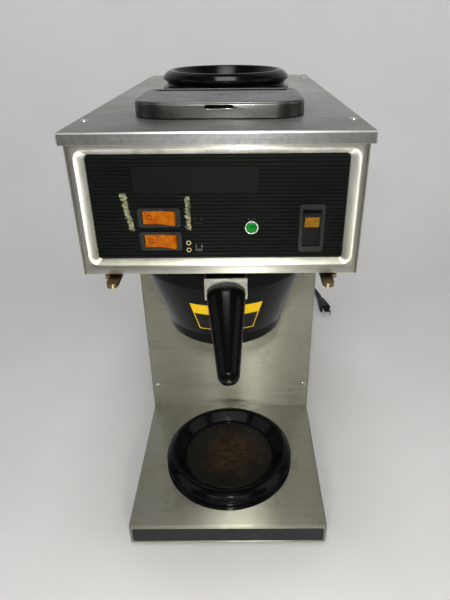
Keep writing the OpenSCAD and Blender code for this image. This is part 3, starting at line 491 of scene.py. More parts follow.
def lathe(name, profile, centre, material, turns=96, **rest):
    """A closed turned piece. profile is (radius, height) points in mm from centre."""
    rings = []
    verts, faces = [], []
    for radius, height in profile:
        if radius < 1e-4:
            rings.append([len(verts)])
            verts.append((centre[0], centre[1], centre[2] + height * MM))
            continue
        ring = []
        for step in range(turns):
            turn = 2 * math.pi * step / turns
            ring.append(len(verts))
            verts.append((centre[0] + radius * MM * math.cos(turn), centre[1] + radius * MM * math.sin(turn),
                          centre[2] + height * MM))
        rings.append(ring)
    for one, two in zip(rings, rings[1:] + rings[:1]):
        if len(one) == 1 and len(two) == 1:
            continue
        for step in range(turns):
            after = (step + 1) % turns
            quad = [one[step % len(one)], one[after % len(one)], two[after % len(two)], two[step % len(two)]]
            faces.append([v for i, v in enumerate(quad) if v not in quad[:i]])
    return new_piece(name, verts, faces, material, **rest)


def ring_rect(width, height, radius, steps=6):
    """Points round a rectangle with round corners, in mm, the same count for every size."""
    made = []
    for quarter, (sx, sy) in enumerate(((1, 1), (-1, 1), (-1, -1), (1, -1))):
        for step in range(steps + 1):
            turn = math.pi / 2 * (quarter + step / steps)
            made.append((sx * (width / 2 - radius) + radius * math.cos(turn),
                         sy * (height / 2 - radius) + radius * math.sin(turn)))
    return made


def joined_rings(rings, closed=False, caps=(False, False)):
    """Verts and faces that join rings of equal count. caps closes the first and last ring."""
    count = len(rings[0])
    verts = [v for ring in rings for v in ring]
    faces = []
    last = len(rings) if closed else len(rings) - 1
    for index in range(last):
        one, two = index * count, ((index + 1) % len(rings)) * count
        for step in range(count):
            after = (step + 1) % count
            faces.append((one + step, one + after, two + after, two + step))
    if caps[0]:
        faces.append(tuple(range(count))[::-1])
    if caps[1]:
        faces.append(tuple(range((len(rings) - 1) * count, len(rings) * count)))
    return verts, faces


def upright(points, x, y, z):
    """Ring points in mm stood up in the XZ plane at depth y, in metres."""
    return [Vector((x + u * MM, y, z + v * MM)) for u, v in points]


def flat(points, x, y, z):
    """Ring points in mm laid flat at height z, in metres."""
    return [Vector((x + u * MM, y + v * MM, z)) for u, v in points]


def work_in(made, modifier):
    """Replaces a piece's mesh with what its modifier makes of it."""
    bpy.context.view_layer.update()
    evaluated = made.evaluated_get(bpy.context.evaluated_depsgraph_get())
    mesh = bpy.data.meshes.new_from_object(evaluated)
    made.modifiers.remove(modifier)
    made.data = mesh


def carved(made, cutter_verts, cutter_faces):
    """Cuts a closed shape out of a piece's mesh for good."""
    mesh = bpy.data.meshes.new("cutter")
    mesh.from_pydata([tuple(v) for v in cutter_verts], [], [tuple(f) for f in cutter_faces])
    work = bmesh.new()
    work.from_mesh(mesh)
    bmesh.ops.recalc_face_normals(work, faces=work.faces)
    work.to_mesh(mesh)
    work.free()
    cutter = linked("cutter", mesh)
    modifier = made.modifiers.new("cut", "BOOLEAN")
    modifier.object = cutter
    modifier.operation = "DIFFERENCE"
    modifier.solver = "EXACT"
    work_in(made, modifier)
    bpy.data.objects.remove(cutter)
    made.data.set_sharp_from_angle(angle=math.radians(40))
    return made


def box_shape(lo, hi):
    corners = [Vector((x, y, z)) for x in (lo[0], hi[0]) for y in (lo[1], hi[1]) for z in (lo[2], hi[2])]
    return corners, [(0, 1, 3, 2), (4, 6, 7, 5), (0, 4, 5, 1), (2, 3, 7, 6), (0, 2, 6, 4), (1, 5, 7, 3)]


def rounded_shell(name, lo, hi, radius, material, open_sides=(), thickness=1.2 * MM, corner_steps=4, **rest):
    """A folded sheet box: rounded outer edges, chosen sides left open, a real sheet thickness."""
    work = bmesh.new()
    verts, faces = box_shape(lo, hi)
    made = [work.verts.new(v) for v in verts]
    sides = ("-x", "+x", "-y", "+y", "-z", "+z")
    for side, face in zip(sides, faces):
        if side not in open_sides:
            work.faces.new([made[i] for i in face])
    bmesh.ops.recalc_face_normals(work, faces=work.faces)
    inner = [e for e in work.edges if len(e.link_faces) == 2]
    bmesh.ops.bevel(work, geom=inner, offset=radius, segments=corner_steps, profile=0.5, affect="EDGES")
    centre = (Vector(lo) + Vector(hi)) / 2
    work.normal_update()
    out = sum(1 if f.normal.dot(f.calc_center_median() - centre) > 0 else -1 for f in work.faces)
    if out < 0:
        bmesh.ops.reverse_faces(work, faces=work.faces)
    mesh = bpy.data.meshes.new(name)
    work.to_mesh(mesh)
    work.free()
    piece = linked(name, mesh)
    solid = piece.modifiers.new("sheet", "SOLIDIFY")
    solid.thickness = thickness
    solid.offset = -1
    solid.use_even_offset = True
    work_in(piece, solid)
    return dress(piece, material, **rest)


# ---------- Sheet metal body ----------

# Sizes in millimetres, measured from the brewer's middle, its front face and the floor
HALF_W, BODY_D, FOOT_H, DECK, HEAD, LID = 105, 410, 5, 31.3, 328.3, 435.4
COLUMN_Y, WARMER_Y, UPPER_WARMER_Y = 186.5, 92.6, 258
LID_SIDE, LID_FRONT, LID_BACK, LIP_H = 4, 2, 3.2, 8.8
PANEL_Z, FLANGE = HEAD + 51.4, HEAD - 2.8


def at(x, y, z):
    """A place given in millimetres from the middle, the front face and the floor."""
    return Vector((x * MM, FRONT_Y + y * MM, z * MM))


def depth(y):
    """How far back a place lies, given in millimetres from the front face."""
    return at(0, y, 0).y


def punched(made, rings):
    """Cuts a closed loft through a piece."""
    return carved(made, *joined_rings(rings, caps=(True, True)))


def build_base():
    base = rounded_shell("base_box", at(-HALF_W, 0, FOOT_H), at(HALF_W, BODY_D, DECK), 1.6 * MM, STEEL,
                         open_sides=("-z",), body=BODY, nodes=["base_shell"], slot="stainless")
    window = [upright(ring_rect(204.6, 20.2, 3), 0, depth(y), 16.4 * MM) for y in (-3, 4)]
    punched(base, window)
    soften(base, 0.25 * MM)
    refined("base_front_strip", STRIP_BLACK, BODY, 0.3 * MM, "black_panel")
    refined("base_pan", PLATED, BODY, 0.3 * MM, "plated_steel")
    refined("feet", RUBBER, BODY, 0.6 * MM, "rubber", segments=3)


def build_column():
    refined("trunk_shell", STEEL, BODY, 0.45 * MM, "stainless", segments=3)
    refined("trunk_front_panel", STEEL, BODY, 0.35 * MM, "stainless")
    refined("rear_cover", STEEL, BODY, 0.35 * MM, "stainless")


def build_head():
    refined("head_shell", STEEL, BODY, 0.45 * MM, "stainless", segments=3)
    low_z, high_z = HEAD + 0.2, LID - 1.4
    outer_w, outer_h = 2 * (HALF_W - 1.5), high_z - low_z
    lift = (low_z + high_z) / 2 - PANEL_Z
    mid = PANEL_Z * MM
    steps = 10

    def outer(w, h, r, y):
        return upright(ring_rect(w, h, r, steps), 0, depth(y), mid + lift * MM)

    def hole(w, h, r, y):
        return upright(ring_rect(w, h, r, steps), 0, depth(y), mid)

    # The pressed edge slopes in from the front face, wide at the sides and narrow above and below
    curl = []
    for step in range(9):
        share = step / 8
        deep = 0.55 * share + 0.45 * share * share
        curl.append(hole(200 - 14 * share, 88 - 8.5 * share, 7 - 4 * share, 4 * deep))

    rings = [outer(outer_w, outer_h, 0.8, 1.2), outer(outer_w, outer_h, 0.8, 0.35),
             outer(outer_w - 0.25, outer_h - 0.25, 0.8, 0.1), outer(outer_w - 0.7, outer_h - 0.7, 0.8, 0),
             *curl, hole(186, 79.5, 3, 5.2), hole(190, 83.5, 5, 5.2), hole(204, 92, 8.4, 1.4),
             hole(206, 94, 9.4, 1.2)]
    new_piece("head_frame", *joined_rings(rings, closed=True), FRAME_STEEL,
              nodes=["head_front_frame"], slot="bright_steel", smooth=30)


def build_lid():
    lid = rounded_shell("lid", at(-HALF_W - LID_SIDE, -LID_FRONT, LID - LIP_H),
                        at(HALF_W + LID_SIDE, BODY_D + LID_BACK, LID), 1.7 * MM, LID_STEEL, open_sides=("-z",),
                        body=BODY, nodes=["top_lid"], slot="stainless")
    mouth = [flat(ring_rect(101, 63, 18), 0, depth(87), z * MM) for z in (LID - 6, LID + 2)]
    punched(lid, mouth)
    stud = [flat(ring_rect(40, 40, 19.99, 10), 0, depth(UPPER_WARMER_Y), z * MM)
            for z in (LID - 6, LID + 2)]
    punched(lid, stud)
    soften(lid, 0.25 * MM)


def frame_steel():
    """The head frame's steel: dull on its flat strips, with a painted highlight where the pressed edge curls
    in, whiter towards the top and smeared darker in patches.
    """
    material = brushed_steel("frame_stainless", (0.42, 0.415, 0.38), 0.34, 0.25, 0.3, 0.7)
    tree = material.node_tree
    shader = tree.nodes["Principled BSDF"]
    curled = faces_along(tree, 1, -0.985, -0.93)
    smear = noise(tree, place(tree, (60, 60, 18)), 1, 4, 0.6)
    height = add_node(tree, "ShaderNodeSeparateXYZ", None, Vector=place(tree)).outputs[2]
    # Painted highlight: the curled faces are painted pale cream, near white towards the top; worn lays darker
    # smears over this painted highlight.
    painted_curl_highlight = blend_colour(tree, spread(tree, height, 0.41, 0.34), (0.85, 0.84, 0.79), (0.6, 0.6, 0.5))
    worn = blend_colour(tree, spread(tree, smear, 0.4, 0.7), painted_curl_highlight, (0.5, 0.5, 0.42))
    colour, rough = shader.inputs["Base Color"], shader.inputs["Roughness"]
    tree.links.new(blend_colour(tree, curled, colour.links[0].from_socket, worn), colour)
    extra = spread(tree, curled, 0, 1, 0, 0.08)
    tree.links.new(arithmetic(tree, "ADD", rough.links[0].from_socket, extra), rough)
    return material


FRAME_STEEL = frame_steel()
STRIP_BLACK = moulded("strip_black", (0.009, 0.011, 0.013), 0.6, 500, 0.12, 0.08)
build_base()
build_column()
build_head()
build_lid()

# ---------- Screws ----------


def screw_heads(name, node, places, way, radius, height, material, body=BODY):
    """Domed crosshead screws with short shanks, facing -Y, +Y or +Z."""
    turn = {"-y": Matrix.Rotation(math.radians(90), 4, "X"),
            "+y": Matrix.Rotation(math.radians(-90), 4, "X"),
            "+z": Matrix.Identity(4), "-z": Matrix.Rotation(math.radians(180), 4, "X")}[way]
    verts, faces = [], []
    steps = 24
    rise = [(0, -6), (1.85, -6), (1.85, -0.2), (radius, 0), (radius, height * 0.2),
            (radius * 0.93, height * 0.48), (radius * 0.76, height * 0.75), (radius * 0.5, height * 0.93)]
    shift = random.Random(4)
    for place_at in places:
        spin = Matrix.Rotation(shift.uniform(0, math.pi / 2), 4, "Z")
        base = len(verts)
        ring_at = []
        for r, z in rise:
            ring_at.append(len(verts))
            for step in range(steps if r else 1):
                angle = 2 * math.pi * step / steps
                p = Vector((r * math.cos(angle), r * math.sin(angle), z)) * MM
                verts.append(place_at + turn @ spin @ p)
        for index in range(len(rise) - 1):
            for step in range(steps):
                after = (step + 1) % steps
                if index == 0:
                    faces.append((base, ring_at[1] + after, ring_at[1] + step))
                else:
                    faces.append((ring_at[index] + step, ring_at[index] + after, ring_at[index + 1] + after,
                                  ring_at[index + 1] + step))
        # The cross recess: a star rim that drops to a small sunk floor
        star, floor = [], []
        for step in range(steps):
            angle = 2 * math.pi * step / steps
            arm = abs(math.cos(2 * angle)) ** 3
            reach = radius * (0.14 + 0.36 * arm)
            for group, z, share in ((star, height * (0.97 - 0.1 * arm), 1), (floor, height * 0.3, 0.7)):
                p = Vector((reach * share * math.cos(angle), reach * share * math.sin(angle), z)) * MM
                group.append(len(verts))
                verts.append(place_at + turn @ spin @ p)
        for step in range(steps):
            after = (step + 1) % steps
            faces.append((ring_at[-1] + step, ring_at[-1] + after, star[after], star[step]))
            faces.append((star[step], star[after], floor[after], floor[step]))
        faces.append(tuple(floor))
    return new_piece(name, verts, faces, material, body=body, nodes=[node], slot="bright_steel", smooth=50)


screw_heads("trunk_screw_heads", "trunk_screws", [at(x, COLUMN_Y, z) for x in (-98, 98)
                                                  for z in (DECK + 37.7, HEAD - 40)], "-y", 3.4, 1.6, BRIGHT)
screw_heads("lid_screw_heads", "lid_screws", [at(x, y, LID) for x in (-101, 101) for y in (43, 370)],
            "+z", 3.4, 1.0, BRIGHT)
screw_heads("cover_screw_heads", "rear_cover_screws", [at(x, BODY_D + 1.2, z) for x in (-75, 75)
                                                       for z in (91, 299)], "+y", 3.4, 1.4, BRIGHT)
screw_heads("rail_screw_heads", "rail_screws", [at(s * 96, y, HEAD - 1.2) for s in (-1, 1)
                                              for y in (30, 150)], "-z", 3.0, 1.0, BRIGHT)

# ---------- Control panel, switches and lamp ----------

SWITCH_X, UPPER_Z, LOWER_Z = -44, HEAD + 45, HEAD + 26.5
POWER_X, POWER_Z = 68.5, HEAD + 36.1
LAMP_X, LAMP_Z = 24.1, HEAD + 36.9

refined("control_panel", PANEL_BLACK, BODY, 0.1 * MM, "black_panel")
for side in ("upper", "lower"):
    refined(side + "_switch_body", BEZEL_BLACK, BODY, 0.35 * MM, "black_panel", segments=3)
    refined(side + "_switch_rocker", ORANGE, side + "_warmer_rocker", 0.5 * MM, "orange_switch", segments=4)
refined("power_switch_body", BEZEL_BLACK, BODY, 0.35 * MM, "black_panel", segments=3)
refined("power_switch_rocker", ROCKER_BLACK, "power_rocker", 0.4 * MM, "black_panel", segments=4)
refined("power_lens", AMBER, "power_rocker", 0.25 * MM, "amber_lens", segments=3)
refined("ready_lamp_bezel", BRIGHT, BODY, 0.3 * MM, "bright_steel", segments=3)
refined("ready_lamp_lens", GREEN, BODY, 0.2 * MM, "green_lens", segments=3)


def front_face(node, x, z):
    """The depth of the first surface met from the front, at mm across and up."""
    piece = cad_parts[node]
    corners = [piece.matrix_world @ v.co for v in piece.data.vertices]
    tree = BVHTree.FromPolygons(corners, [tuple(p.vertices) for p in piece.data.polygons])
    return tree.ray_cast(at(x, -60, z), Vector((0, 1, 0)))[0].y


def hoop(verts, faces, centre, radius, stroke, rise):
    """Adds a raised ring mark that faces the front. Sizes are in mm."""
    base, steps = len(verts), 32
    section = [(radius + stroke / 2, 0), (radius + stroke / 2, -rise), (radius - stroke / 2, -rise),
               (radius - stroke / 2, 0)]
    for step in range(steps):
        turn = 2 * math.pi * step / steps
        for r, y in section:
            verts.append(centre + Vector((r * math.cos(turn), y, r * math.sin(turn))) * MM)
    for step in range(steps):
        one, two = base + 4 * step, base + 4 * ((step + 1) % steps)
        for k in range(4):
            faces.append((one + k, one + (k + 1) % 4, two + (k + 1) % 4, two + k))


def build_marks():
    """Plain rings and cup outlines printed by the switches, and a ring moulded into each rocker."""
    verts, faces = [], []
    for x, z in ((-23.6, 366), (-23.5, 352.8), (-23.5, 347.1)):
        hoop(verts, faces, Vector((x * MM, front_face("control_panel", x, z) + 0.02 * MM, z * MM)), 1.55,
             0.6, 0.08)
    new_piece("panel_rings", verts, faces, PRINT_GOLD, slot="black_panel")
    verts, faces = [], []
    for x, z in ((-15.3, 371.2), (-15.6, 349.5), (24.1, 371.7)):
        y = front_face("control_panel", x, z) + 0.02 * MM
        for u0, u1, v0, v1 in ((-2.6, -2.1, -2.2, 2), (1.6, 2.1, -2.2, 2), (-2.1, 1.6, -2.2, -1.7),
                               (2.1, 3.2, 0.6, 1.1), (-2.9, 2.4, -3.4, -3)):
            lo = Vector(((x + u0) * MM, y - 0.06 * MM, (z + v0) * MM))
            hi = Vector(((x + u1) * MM, y, (z + v1) * MM))
            base = len(verts)
            corners, sides = box_shape(lo, hi)
            verts += corners
            faces += [tuple(base + i for i in side) for side in sides]
    new_piece("panel_icons", verts, faces, PRINT_GREY, slot="black_panel")
    for side, z in (("upper", UPPER_Z), ("lower", LOWER_Z)):
        verts, faces = [], []
        x = SWITCH_X - 7.2
        y = front_face(side + "_switch_rocker", x, z) + 0.15 * MM
        hoop(verts, faces, Vector((x * MM, y, z * MM)), 1.7, 0.6, 0.4)
        new_piece(side + "_rocker_ring", verts, faces, ORANGE_DARK, body=side + "_warmer_rocker",
                  slot="orange_switch")


build_marks()

# ---------- Rails, warmers, pour cover ----------

refined("funnel_rails", RAIL_BRASS, BODY, 0.5 * MM, "plated_steel", segments=3)


def build_warmer(level, radius, y, z):
    r = radius
    section = [(r - 28.5, 0), (r, 0), (r, 2.2), (r - 1, 3.4), (r - 4, 4.6), (r - 4.9, 6), (r - 4.3, 7.4),
               (r - 0.5, 10.8), (r - 0.1, 12), (r - 0.7, 13.4), (r - 4, 16.8), (r - 7.3, 19),
               (r - 9.3, 19.5), (r - 11.3, 18.9), (r - 20.8, 9.6), (r - 22.7, 8.8), (r - 22.7, 6.5),
               (r - 28.5, 6.5)]
    rounds = [0, 0.8, 0.9, 1.5, 2, 1.5, 2, 2, 2, 2, 4, 3, 3, 3, 3, 0.8, 0.3, 0]
    centre = at(0, y, z)
    lathe(level + "_ring", arc_points(section, rounds, 6), centre, GLOSS_BLACK, 128,
          nodes=[level + "_warmer_ring"], slot="black_phenolic", smooth=50)
    plate = [(0, 6.5), (r - 23, 6.5), (r - 23, 8.7), (r - 24.2, 8.7), (r - 25.6, 8), (0, 8)]
    lathe(level + "_plate", arc_points(plate, [0, 0.5, 0.5, 0.5, 1.2, 0], 4), centre,
          enamel_plate(level + "_enamel", level + "_warmer_plate"), 96, nodes=[level + "_warmer_plate"],
          slot="black_enamel", smooth=50)
    refined(level + "_warmer_element", ELEMENT, BODY, 0.4 * MM, "sheathed_element")


build_warmer("lower", 74.5, WARMER_Y, DECK)
build_warmer("upper", 70, UPPER_WARMER_Y, LID)
refined("warmer_nuts", PLATED, BODY, 0.3 * MM, "plated_steel")
refined("pour_collar", BRIGHT, BODY, 0.3 * MM, "bright_steel")
refined("cover_hinge_pins", BRIGHT, BODY, 0.3 * MM, "bright_steel")


def cover_ring(inset, z, steps=8):
    """The pour cover's plan outline: its front corners are rounder than its rear ones."""
    w, d = 133 - 2 * inset, 91 - 2 * inset
    made = []
    for quarter, (sx, sy) in enumerate(((1, 1), (-1, 1), (-1, -1), (1, -1))):
        r = (10 if sy > 0 else 24) - inset
        for step in range(steps + 1):
            turn = math.pi / 2 * (quarter + step / steps)
            made.append(at(sx * (w / 2 - r) + r * math.cos(turn),
                           45 + 45.5 + sy * (d / 2 - r) + r * math.sin(turn), z))
    return made


def build_cover():
    low_z, top = LID + 1, LID + 12.4
    outside = [(0, low_z), (0, top - 2.4)]
    outside += [(2.4 * (1 - math.cos(a)), top - 2.4 + 2.4 * math.sin(a))
                for a in (math.radians(t) for t in (15, 30, 45, 60, 75, 90))]
    outside += [(4.5, top), (20, top)]
    inside = [(20, top - 1.2), (4.5, top - 1.2), (2.2, top - 1.5), (1.2, top - 3), (1.2, low_z)]
    rings = [cover_ring(inset, z) for inset, z in outside]
    inner = [cover_ring(inset, z) for inset, z in inside]
    verts, faces = joined_rings(rings + inner)
    count = len(rings[0])
    # Skins over the middle, outside and inside, and the turned lower edge
    last_out, first_in = (len(rings) - 1) * count, len(rings) * count
    faces = [f for f in faces if not (min(f) >= last_out and max(f) < first_in + count
                                      and any(v < first_in for v in f) and any(v >= first_in for v in f))]
    faces.append(tuple(range(last_out, last_out + count)))
    faces.append(tuple(range(first_in, first_in + count))[::-1])
    end = (len(rings) + len(inner) - 1) * count
    for step in range(count):
        after = (step + 1) % count
        faces.append((end + step, end + after, after, step))
    cover = new_piece("pour_cover_shell", verts, faces, COVER_STEEL, body=COVER, nodes=["pour_cover"],
                      slot="bright_steel", smooth=40)
    hinge_y, hinge_z = 131.5, LID + 4.7
    carved(cover, *box_shape(at(-80, hinge_y, LID - 1), at(80, hinge_y + 8, hinge_z)))
    slot = [upright(ring_rect(22, 4, 1.95), 0, depth(y), (LID + 8.5) * MM) for y in (40, 49)]
    punched(cover, slot)
    dimple = [flat(ring_rect(2 * r, 2 * r, r * 0.999, 6), 0, depth(88), z * MM)
              for r, z in ((1.4, top - 0.6), (2.3, top - 0.2), (2.5, top + 1))]
    punched(cover, dimple)
    lugs_verts, lugs_faces = [], []
    for s in (-1, 1):
        section = [(3.2 * math.cos(a), 3.2 * math.sin(a))
                   for a in (math.radians(t) for t in range(-180, 1, 15))]
        section += [(3.2, 6.5), (-5, 6.5)]
        base = len(lugs_verts)
        for x in (s * 51.5 - 1.5, s * 51.5 + 1.5):
            lugs_verts += [at(x, hinge_y + u, hinge_z + v) for u, v in section]
        n = len(section)
        lugs_faces += [tuple(base + i for i in range(n)), tuple(base + n + i for i in range(n))[::-1]]
        lugs_faces += [(base + i, base + (i + 1) % n, base + n + (i + 1) % n, base + n + i) for i in range(n)]
    lugs = new_piece("cover_lugs", lugs_verts, lugs_faces, COVER_STEEL, body=COVER, slot="bright_steel")
    soften(lugs, 0.2 * MM)


build_cover()

# ---------- Inside the body ----------

for node, material, slot_name in (
        ("water_basin", TANK_STEEL, "tank_steel"), ("tank_shelf", PLATED, "plated_steel"),
        ("tank", TANK_STEEL, "tank_steel"), ("tank_gasket", GASKET, "gasket"),
        ("tank_lid", TANK_STEEL, "tank_steel"),
        ("tank_heater", ELEMENT, "sheathed_element"), ("thermostat", CERAMIC, "ceramic"),
        ("limit_thermostat", CERAMIC, "ceramic"), ("fill_tube", TANK_STEEL, "tank_steel"),
        ("spray_tube", TANK_STEEL, "tank_steel"), ("spray_head", BRIGHT, "bright_steel"),
        ("terminal_block", CERAMIC, "ceramic")):
    refined(node, material, BODY, 0.3 * MM, slot_name)

# ---------- Funnel ----------


def build_funnel():
    section = [(75, 2.3), (88.5, 2.3), (88.5, 0), (77.2, 0), (77.2, -20.5), (75.2, -26.5), (70, -41.5),
               (57.7, -77.5), (55.6, -79.5), (55.6, -88), (53.6, -90.4), (44, -94), (30, -99),
               (12, -104), (8, -104), (8, -112), (3.2, -112), (3.2, -101.8), (11.4, -101.8),
               (29.4, -96.8), (43.2, -92), (46.6, -90.5), (46.6, -86), (53.4, -86), (53.4, -78.6),
               (55.5, -76.6), (67.9, -40.8), (73, -26), (75, -20)]
    rounds = [0.6, 1, 1, 0.8, 3, 6, 20, 0.9, 0.7, 1.2, 2, 5, 6, 2, 1.5, 0.6, 0.6, 0.8, 2, 4, 4, 0.8, 0.5,
              0.5, 1, 1, 8, 6, 3]
    lathe("funnel_cone", arc_points(section, rounds, 5), at(0, WARMER_Y, FLANGE), FUNNEL_BLACK, 128,
          body=FUNNEL, nodes=["funnel_bowl", "funnel_base"], slot="black_phenolic", smooth=45)


FUNNEL_BLACK = moulded("funnel_black", (0.002, 0.002, 0.0022), 0.2, 420, 0.05, 0.03, Specular_IOR_Level=0.1)
build_funnel()
refined("filter_grid", BRIGHT, FUNNEL, 0.3 * MM, "bright_steel")
refined("handle_bracket", BRACKET_STEEL, FUNNEL, 0.5 * MM, "bright_steel", segments=3)
refined("handle_bolt", BRIGHT, FUNNEL, 0.3 * MM, "plated_steel")

FUNNEL_TURN = math.radians(2.5)
ABOUT_FUNNEL = (Matrix.Translation(at(0, WARMER_Y, 0)) @ Matrix.Rotation(FUNNEL_TURN, 4, "Z")
                @ Matrix.Translation(-at(0, WARMER_Y, 0)))
HANDLE_LEN, HANDLE_DROOP = 64, math.radians(33.2)
HANDLE_ROOT = at(0, -3, HEAD - 18.2)
HANDLE_AXES = ABOUT_FUNNEL @ Matrix.Translation(HANDLE_ROOT) @ Matrix.Rotation(
    math.radians(90) + HANDLE_DROOP, 4, "X")


def build_handle():
    """A drooping bar, wide and flat at the root, round at the tip, with a recess for its bolt."""
    rings = []
    steps = 40
    root_a, root_b, tip = 15.4, 8.2, 8.4
    stations = [(-root_b * math.sin(t), math.cos(t), 0.0)
                for t in (math.radians(d) for d in (86, 70, 50, 30, 12))]
    stations += [(HANDLE_LEN * k / 14, 1.0, k / 14) for k in range(15)]
    stations += [(HANDLE_LEN + tip * math.sin(t), math.cos(t), 1.0)
                 for t in (math.radians(d) for d in (10, 20, 30, 40, 50, 60, 70, 80, 87))]
    for along, shrink, share in stations:
        a = (root_a + (tip - root_a) * share) * shrink
        b = (root_b + (tip - root_b) * share) * shrink
        ring = []
        for step in range(steps):
            turn = 2 * math.pi * step / steps
            ring.append(HANDLE_AXES @ Vector((a * MM * math.cos(turn), b * MM * math.sin(turn), along * MM)))
        rings.append(ring)
    made = new_piece("funnel_handle_grip", *joined_rings(rings, caps=(True, True)), HANDLE_BLACK, body=FUNNEL,
                     nodes=["funnel_handle"], slot="black_phenolic", smooth=50)
    behind = [ABOUT_FUNNEL @ v for v in box_shape(at(-30, -0.05, 200), at(30, 30, 400))[0]]
    carved(made, behind, box_shape((0, 0, 0), (1, 1, 1))[1])
    recess = []
    for r, along in ((4.6, HANDLE_LEN + 3), (4.6, HANDLE_LEN + 20)):
        recess.append([HANDLE_AXES @ Vector((r * MM * math.cos(a), r * MM * math.sin(a), along * MM))
                       for a in (2 * math.pi * k / 32 for k in range(32))])
    punched(made, recess)
    soften(made, 0.5 * MM, 3)


# The label's top and bottom below the flange, and its half-angles there
LABEL_TOP, LABEL_BOTTOM = -38.7, -69.5
LABEL_HIGH, LABEL_LOW = 26.4, 23.5


def cone_patch(verts, faces, half_low, half_high, low_z, high_z, lift, thick=0.06):
    """Adds a thin patch on the funnel's cone, from one share of the label's half-width to another."""
    slope = (70 - 57.7) / (77.5 - 41.5)
    steps = max(2, int(abs(half_high - half_low) * 10))
    rows = 2 if high_z - low_z < 4 else 6
    grid = []
    for skin in (lift, lift + thick):
        for row in range(rows + 1):
            z = low_z + (high_z - low_z) * row / rows
            radius = 70 + (z + 41.5) * slope + skin
            for step in range(steps + 1):
                half = LABEL_LOW + (LABEL_HIGH - LABEL_LOW) * (z - LABEL_BOTTOM) / (LABEL_TOP - LABEL_BOTTOM)
                turn = math.radians(-90 + half * (half_low + (half_high - half_low) * step / steps))
                grid.append(ABOUT_FUNNEL @ at(radius * math.cos(turn), WARMER_Y + radius * math.sin(turn),
                                              FLANGE + z))
    base = len(verts)
    verts += grid
    wide, deep = steps + 1, rows + 1

    def index(skin, row, step):
        return base + skin * wide * deep + row * wide + step

    for row in range(rows):
        for step in range(steps):
            faces.append((index(1, row, step), index(1, row, step + 1), index(1, row + 1, step + 1),
                          index(1, row + 1, step)))
            faces.append((index(0, row, step), index(0, row + 1, step), index(0, row + 1, step + 1),
                          index(0, row, step + 1)))
    edge = [(0, s) for s in range(steps)] + [(r, steps) for r in range(rows)]
    edge += [(rows, s) for s in range(steps, 0, -1)] + [(r, 0) for r in range(rows, 0, -1)]
    for one, two in zip(edge, edge[1:] + edge[:1]):
        faces.append((index(0, *one), index(0, *two), index(1, *two), index(1, *one)))


def build_label():
    top, bottom, side = LABEL_TOP, LABEL_BOTTOM, 0.033
    verts, faces = [], []
    cone_patch(verts, faces, -1, 1, bottom, top, 0.05, 0.2)
    new_piece("label_film", verts, faces, LABEL_BLACK, body=FUNNEL, nodes=["funnel_label"], slot="label")
    verts, faces = [], []
    band = top - 0.37 * (top - bottom)
    cone_patch(verts, faces, -1, 1, band, top, 0.26)
    cone_patch(verts, faces, -1, 1, bottom, bottom + 0.9, 0.26)
    cone_patch(verts, faces, -1, side - 1, bottom + 0.9, band, 0.26)
    cone_patch(verts, faces, 1 - side, 1, bottom + 0.9, band, 0.26)
    new_piece("label_print", verts, faces, YELLOW, body=FUNNEL, slot="label")


build_handle()
build_label()

# ---------- Cord and plug ----------

RUN = [(70, 443, 55), (70, 450, 55), (70.6, 458, 53), (71.7, 466, 49.6), (73, 474, 44.8), (74, 482, 39),
       (73.6, 490, 33), (71.8, 498, 27), (68.4, 505.5, 21.8), (63.6, 512, 17.4), (57.5, 517, 14)]
LEAD = [(77.6, 496, 3.75), (80, 512, 3.75), (82.6, 528, 3.75), (86, 544, 3.75), (91, 560, 3.75),
        (98, 575, 3.75), (108, 587, 3.75), (120.5, 594, 3.75), (134, 596, 3.75), (147, 592.6, 4.2),
        (158, 584.6, 5.2), (165.6, 574, 6.4), (169.7, 562, 7.5), (171.6, 550, 7.5)]
COIL_X, COIL_Y = 26, 478
COIL_R = (48.5, 41, 33.5)
CORD_DIA = 7.5


def coil_points():
    """Six turns: inwards on the upper layer, then outwards on the lower one."""
    made = []
    turns = [(r, 11.25) for r in COIL_R] + [(r, 3.75) for r in reversed(COIL_R)]
    steps = 36
    change = 6
    for index, (radius, height) in enumerate(turns):
        after = turns[index + 1] if index + 1 < len(turns) else (radius, height)
        for step in range(steps):
            angle = index * 360 + step * 360 / steps
            if index == 0 and angle < 60:
                continue
            share = max(0, step - (steps - change)) / change
            share = share * share * (3 - 2 * share)
            r = radius + (after[0] - radius) * share
            z = height + (after[1] - height) * share
            turn = math.radians(angle)
            made.append((COIL_X + r * math.cos(turn), COIL_Y + r * math.sin(turn), z))
    made.append((COIL_X + COIL_R[0] * math.cos(0.0415), COIL_Y + COIL_R[0] * math.sin(0.0415), 3.75))
    return made


def build_cord():
    points = [at(*p) for p in [(70, 411, 55)] + RUN + coil_points() + LEAD]
    curve = bpy.data.curves.new("mains_cord", "CURVE")
    curve.dimensions = "3D"
    curve.bevel_depth = CORD_DIA / 2 * MM
    curve.bevel_resolution = 6
    curve.resolution_u = 6
    curve.use_fill_caps = True
    line = curve.splines.new("BEZIER")
    line.bezier_points.add(len(points) - 1)
    for point, place_at in zip(line.bezier_points, points):
        point.co = place_at
        point.handle_left_type = point.handle_right_type = "AUTO"
    curve.materials.append(JACKET)
    cord = linked("mains_cord", curve)
    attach(cord, BODY)
    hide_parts("cord_run", "cord_coil", "cord_lead")
    gland = refined("cord_gland", RUBBER, BODY, 0.4 * MM, "rubber")
    plug = refined("plug_body", RUBBER, BODY, 0.5 * MM, "rubber")
    blades = refined("plug_blades", BRIGHT, BODY, 0.2 * MM, "plated_steel")


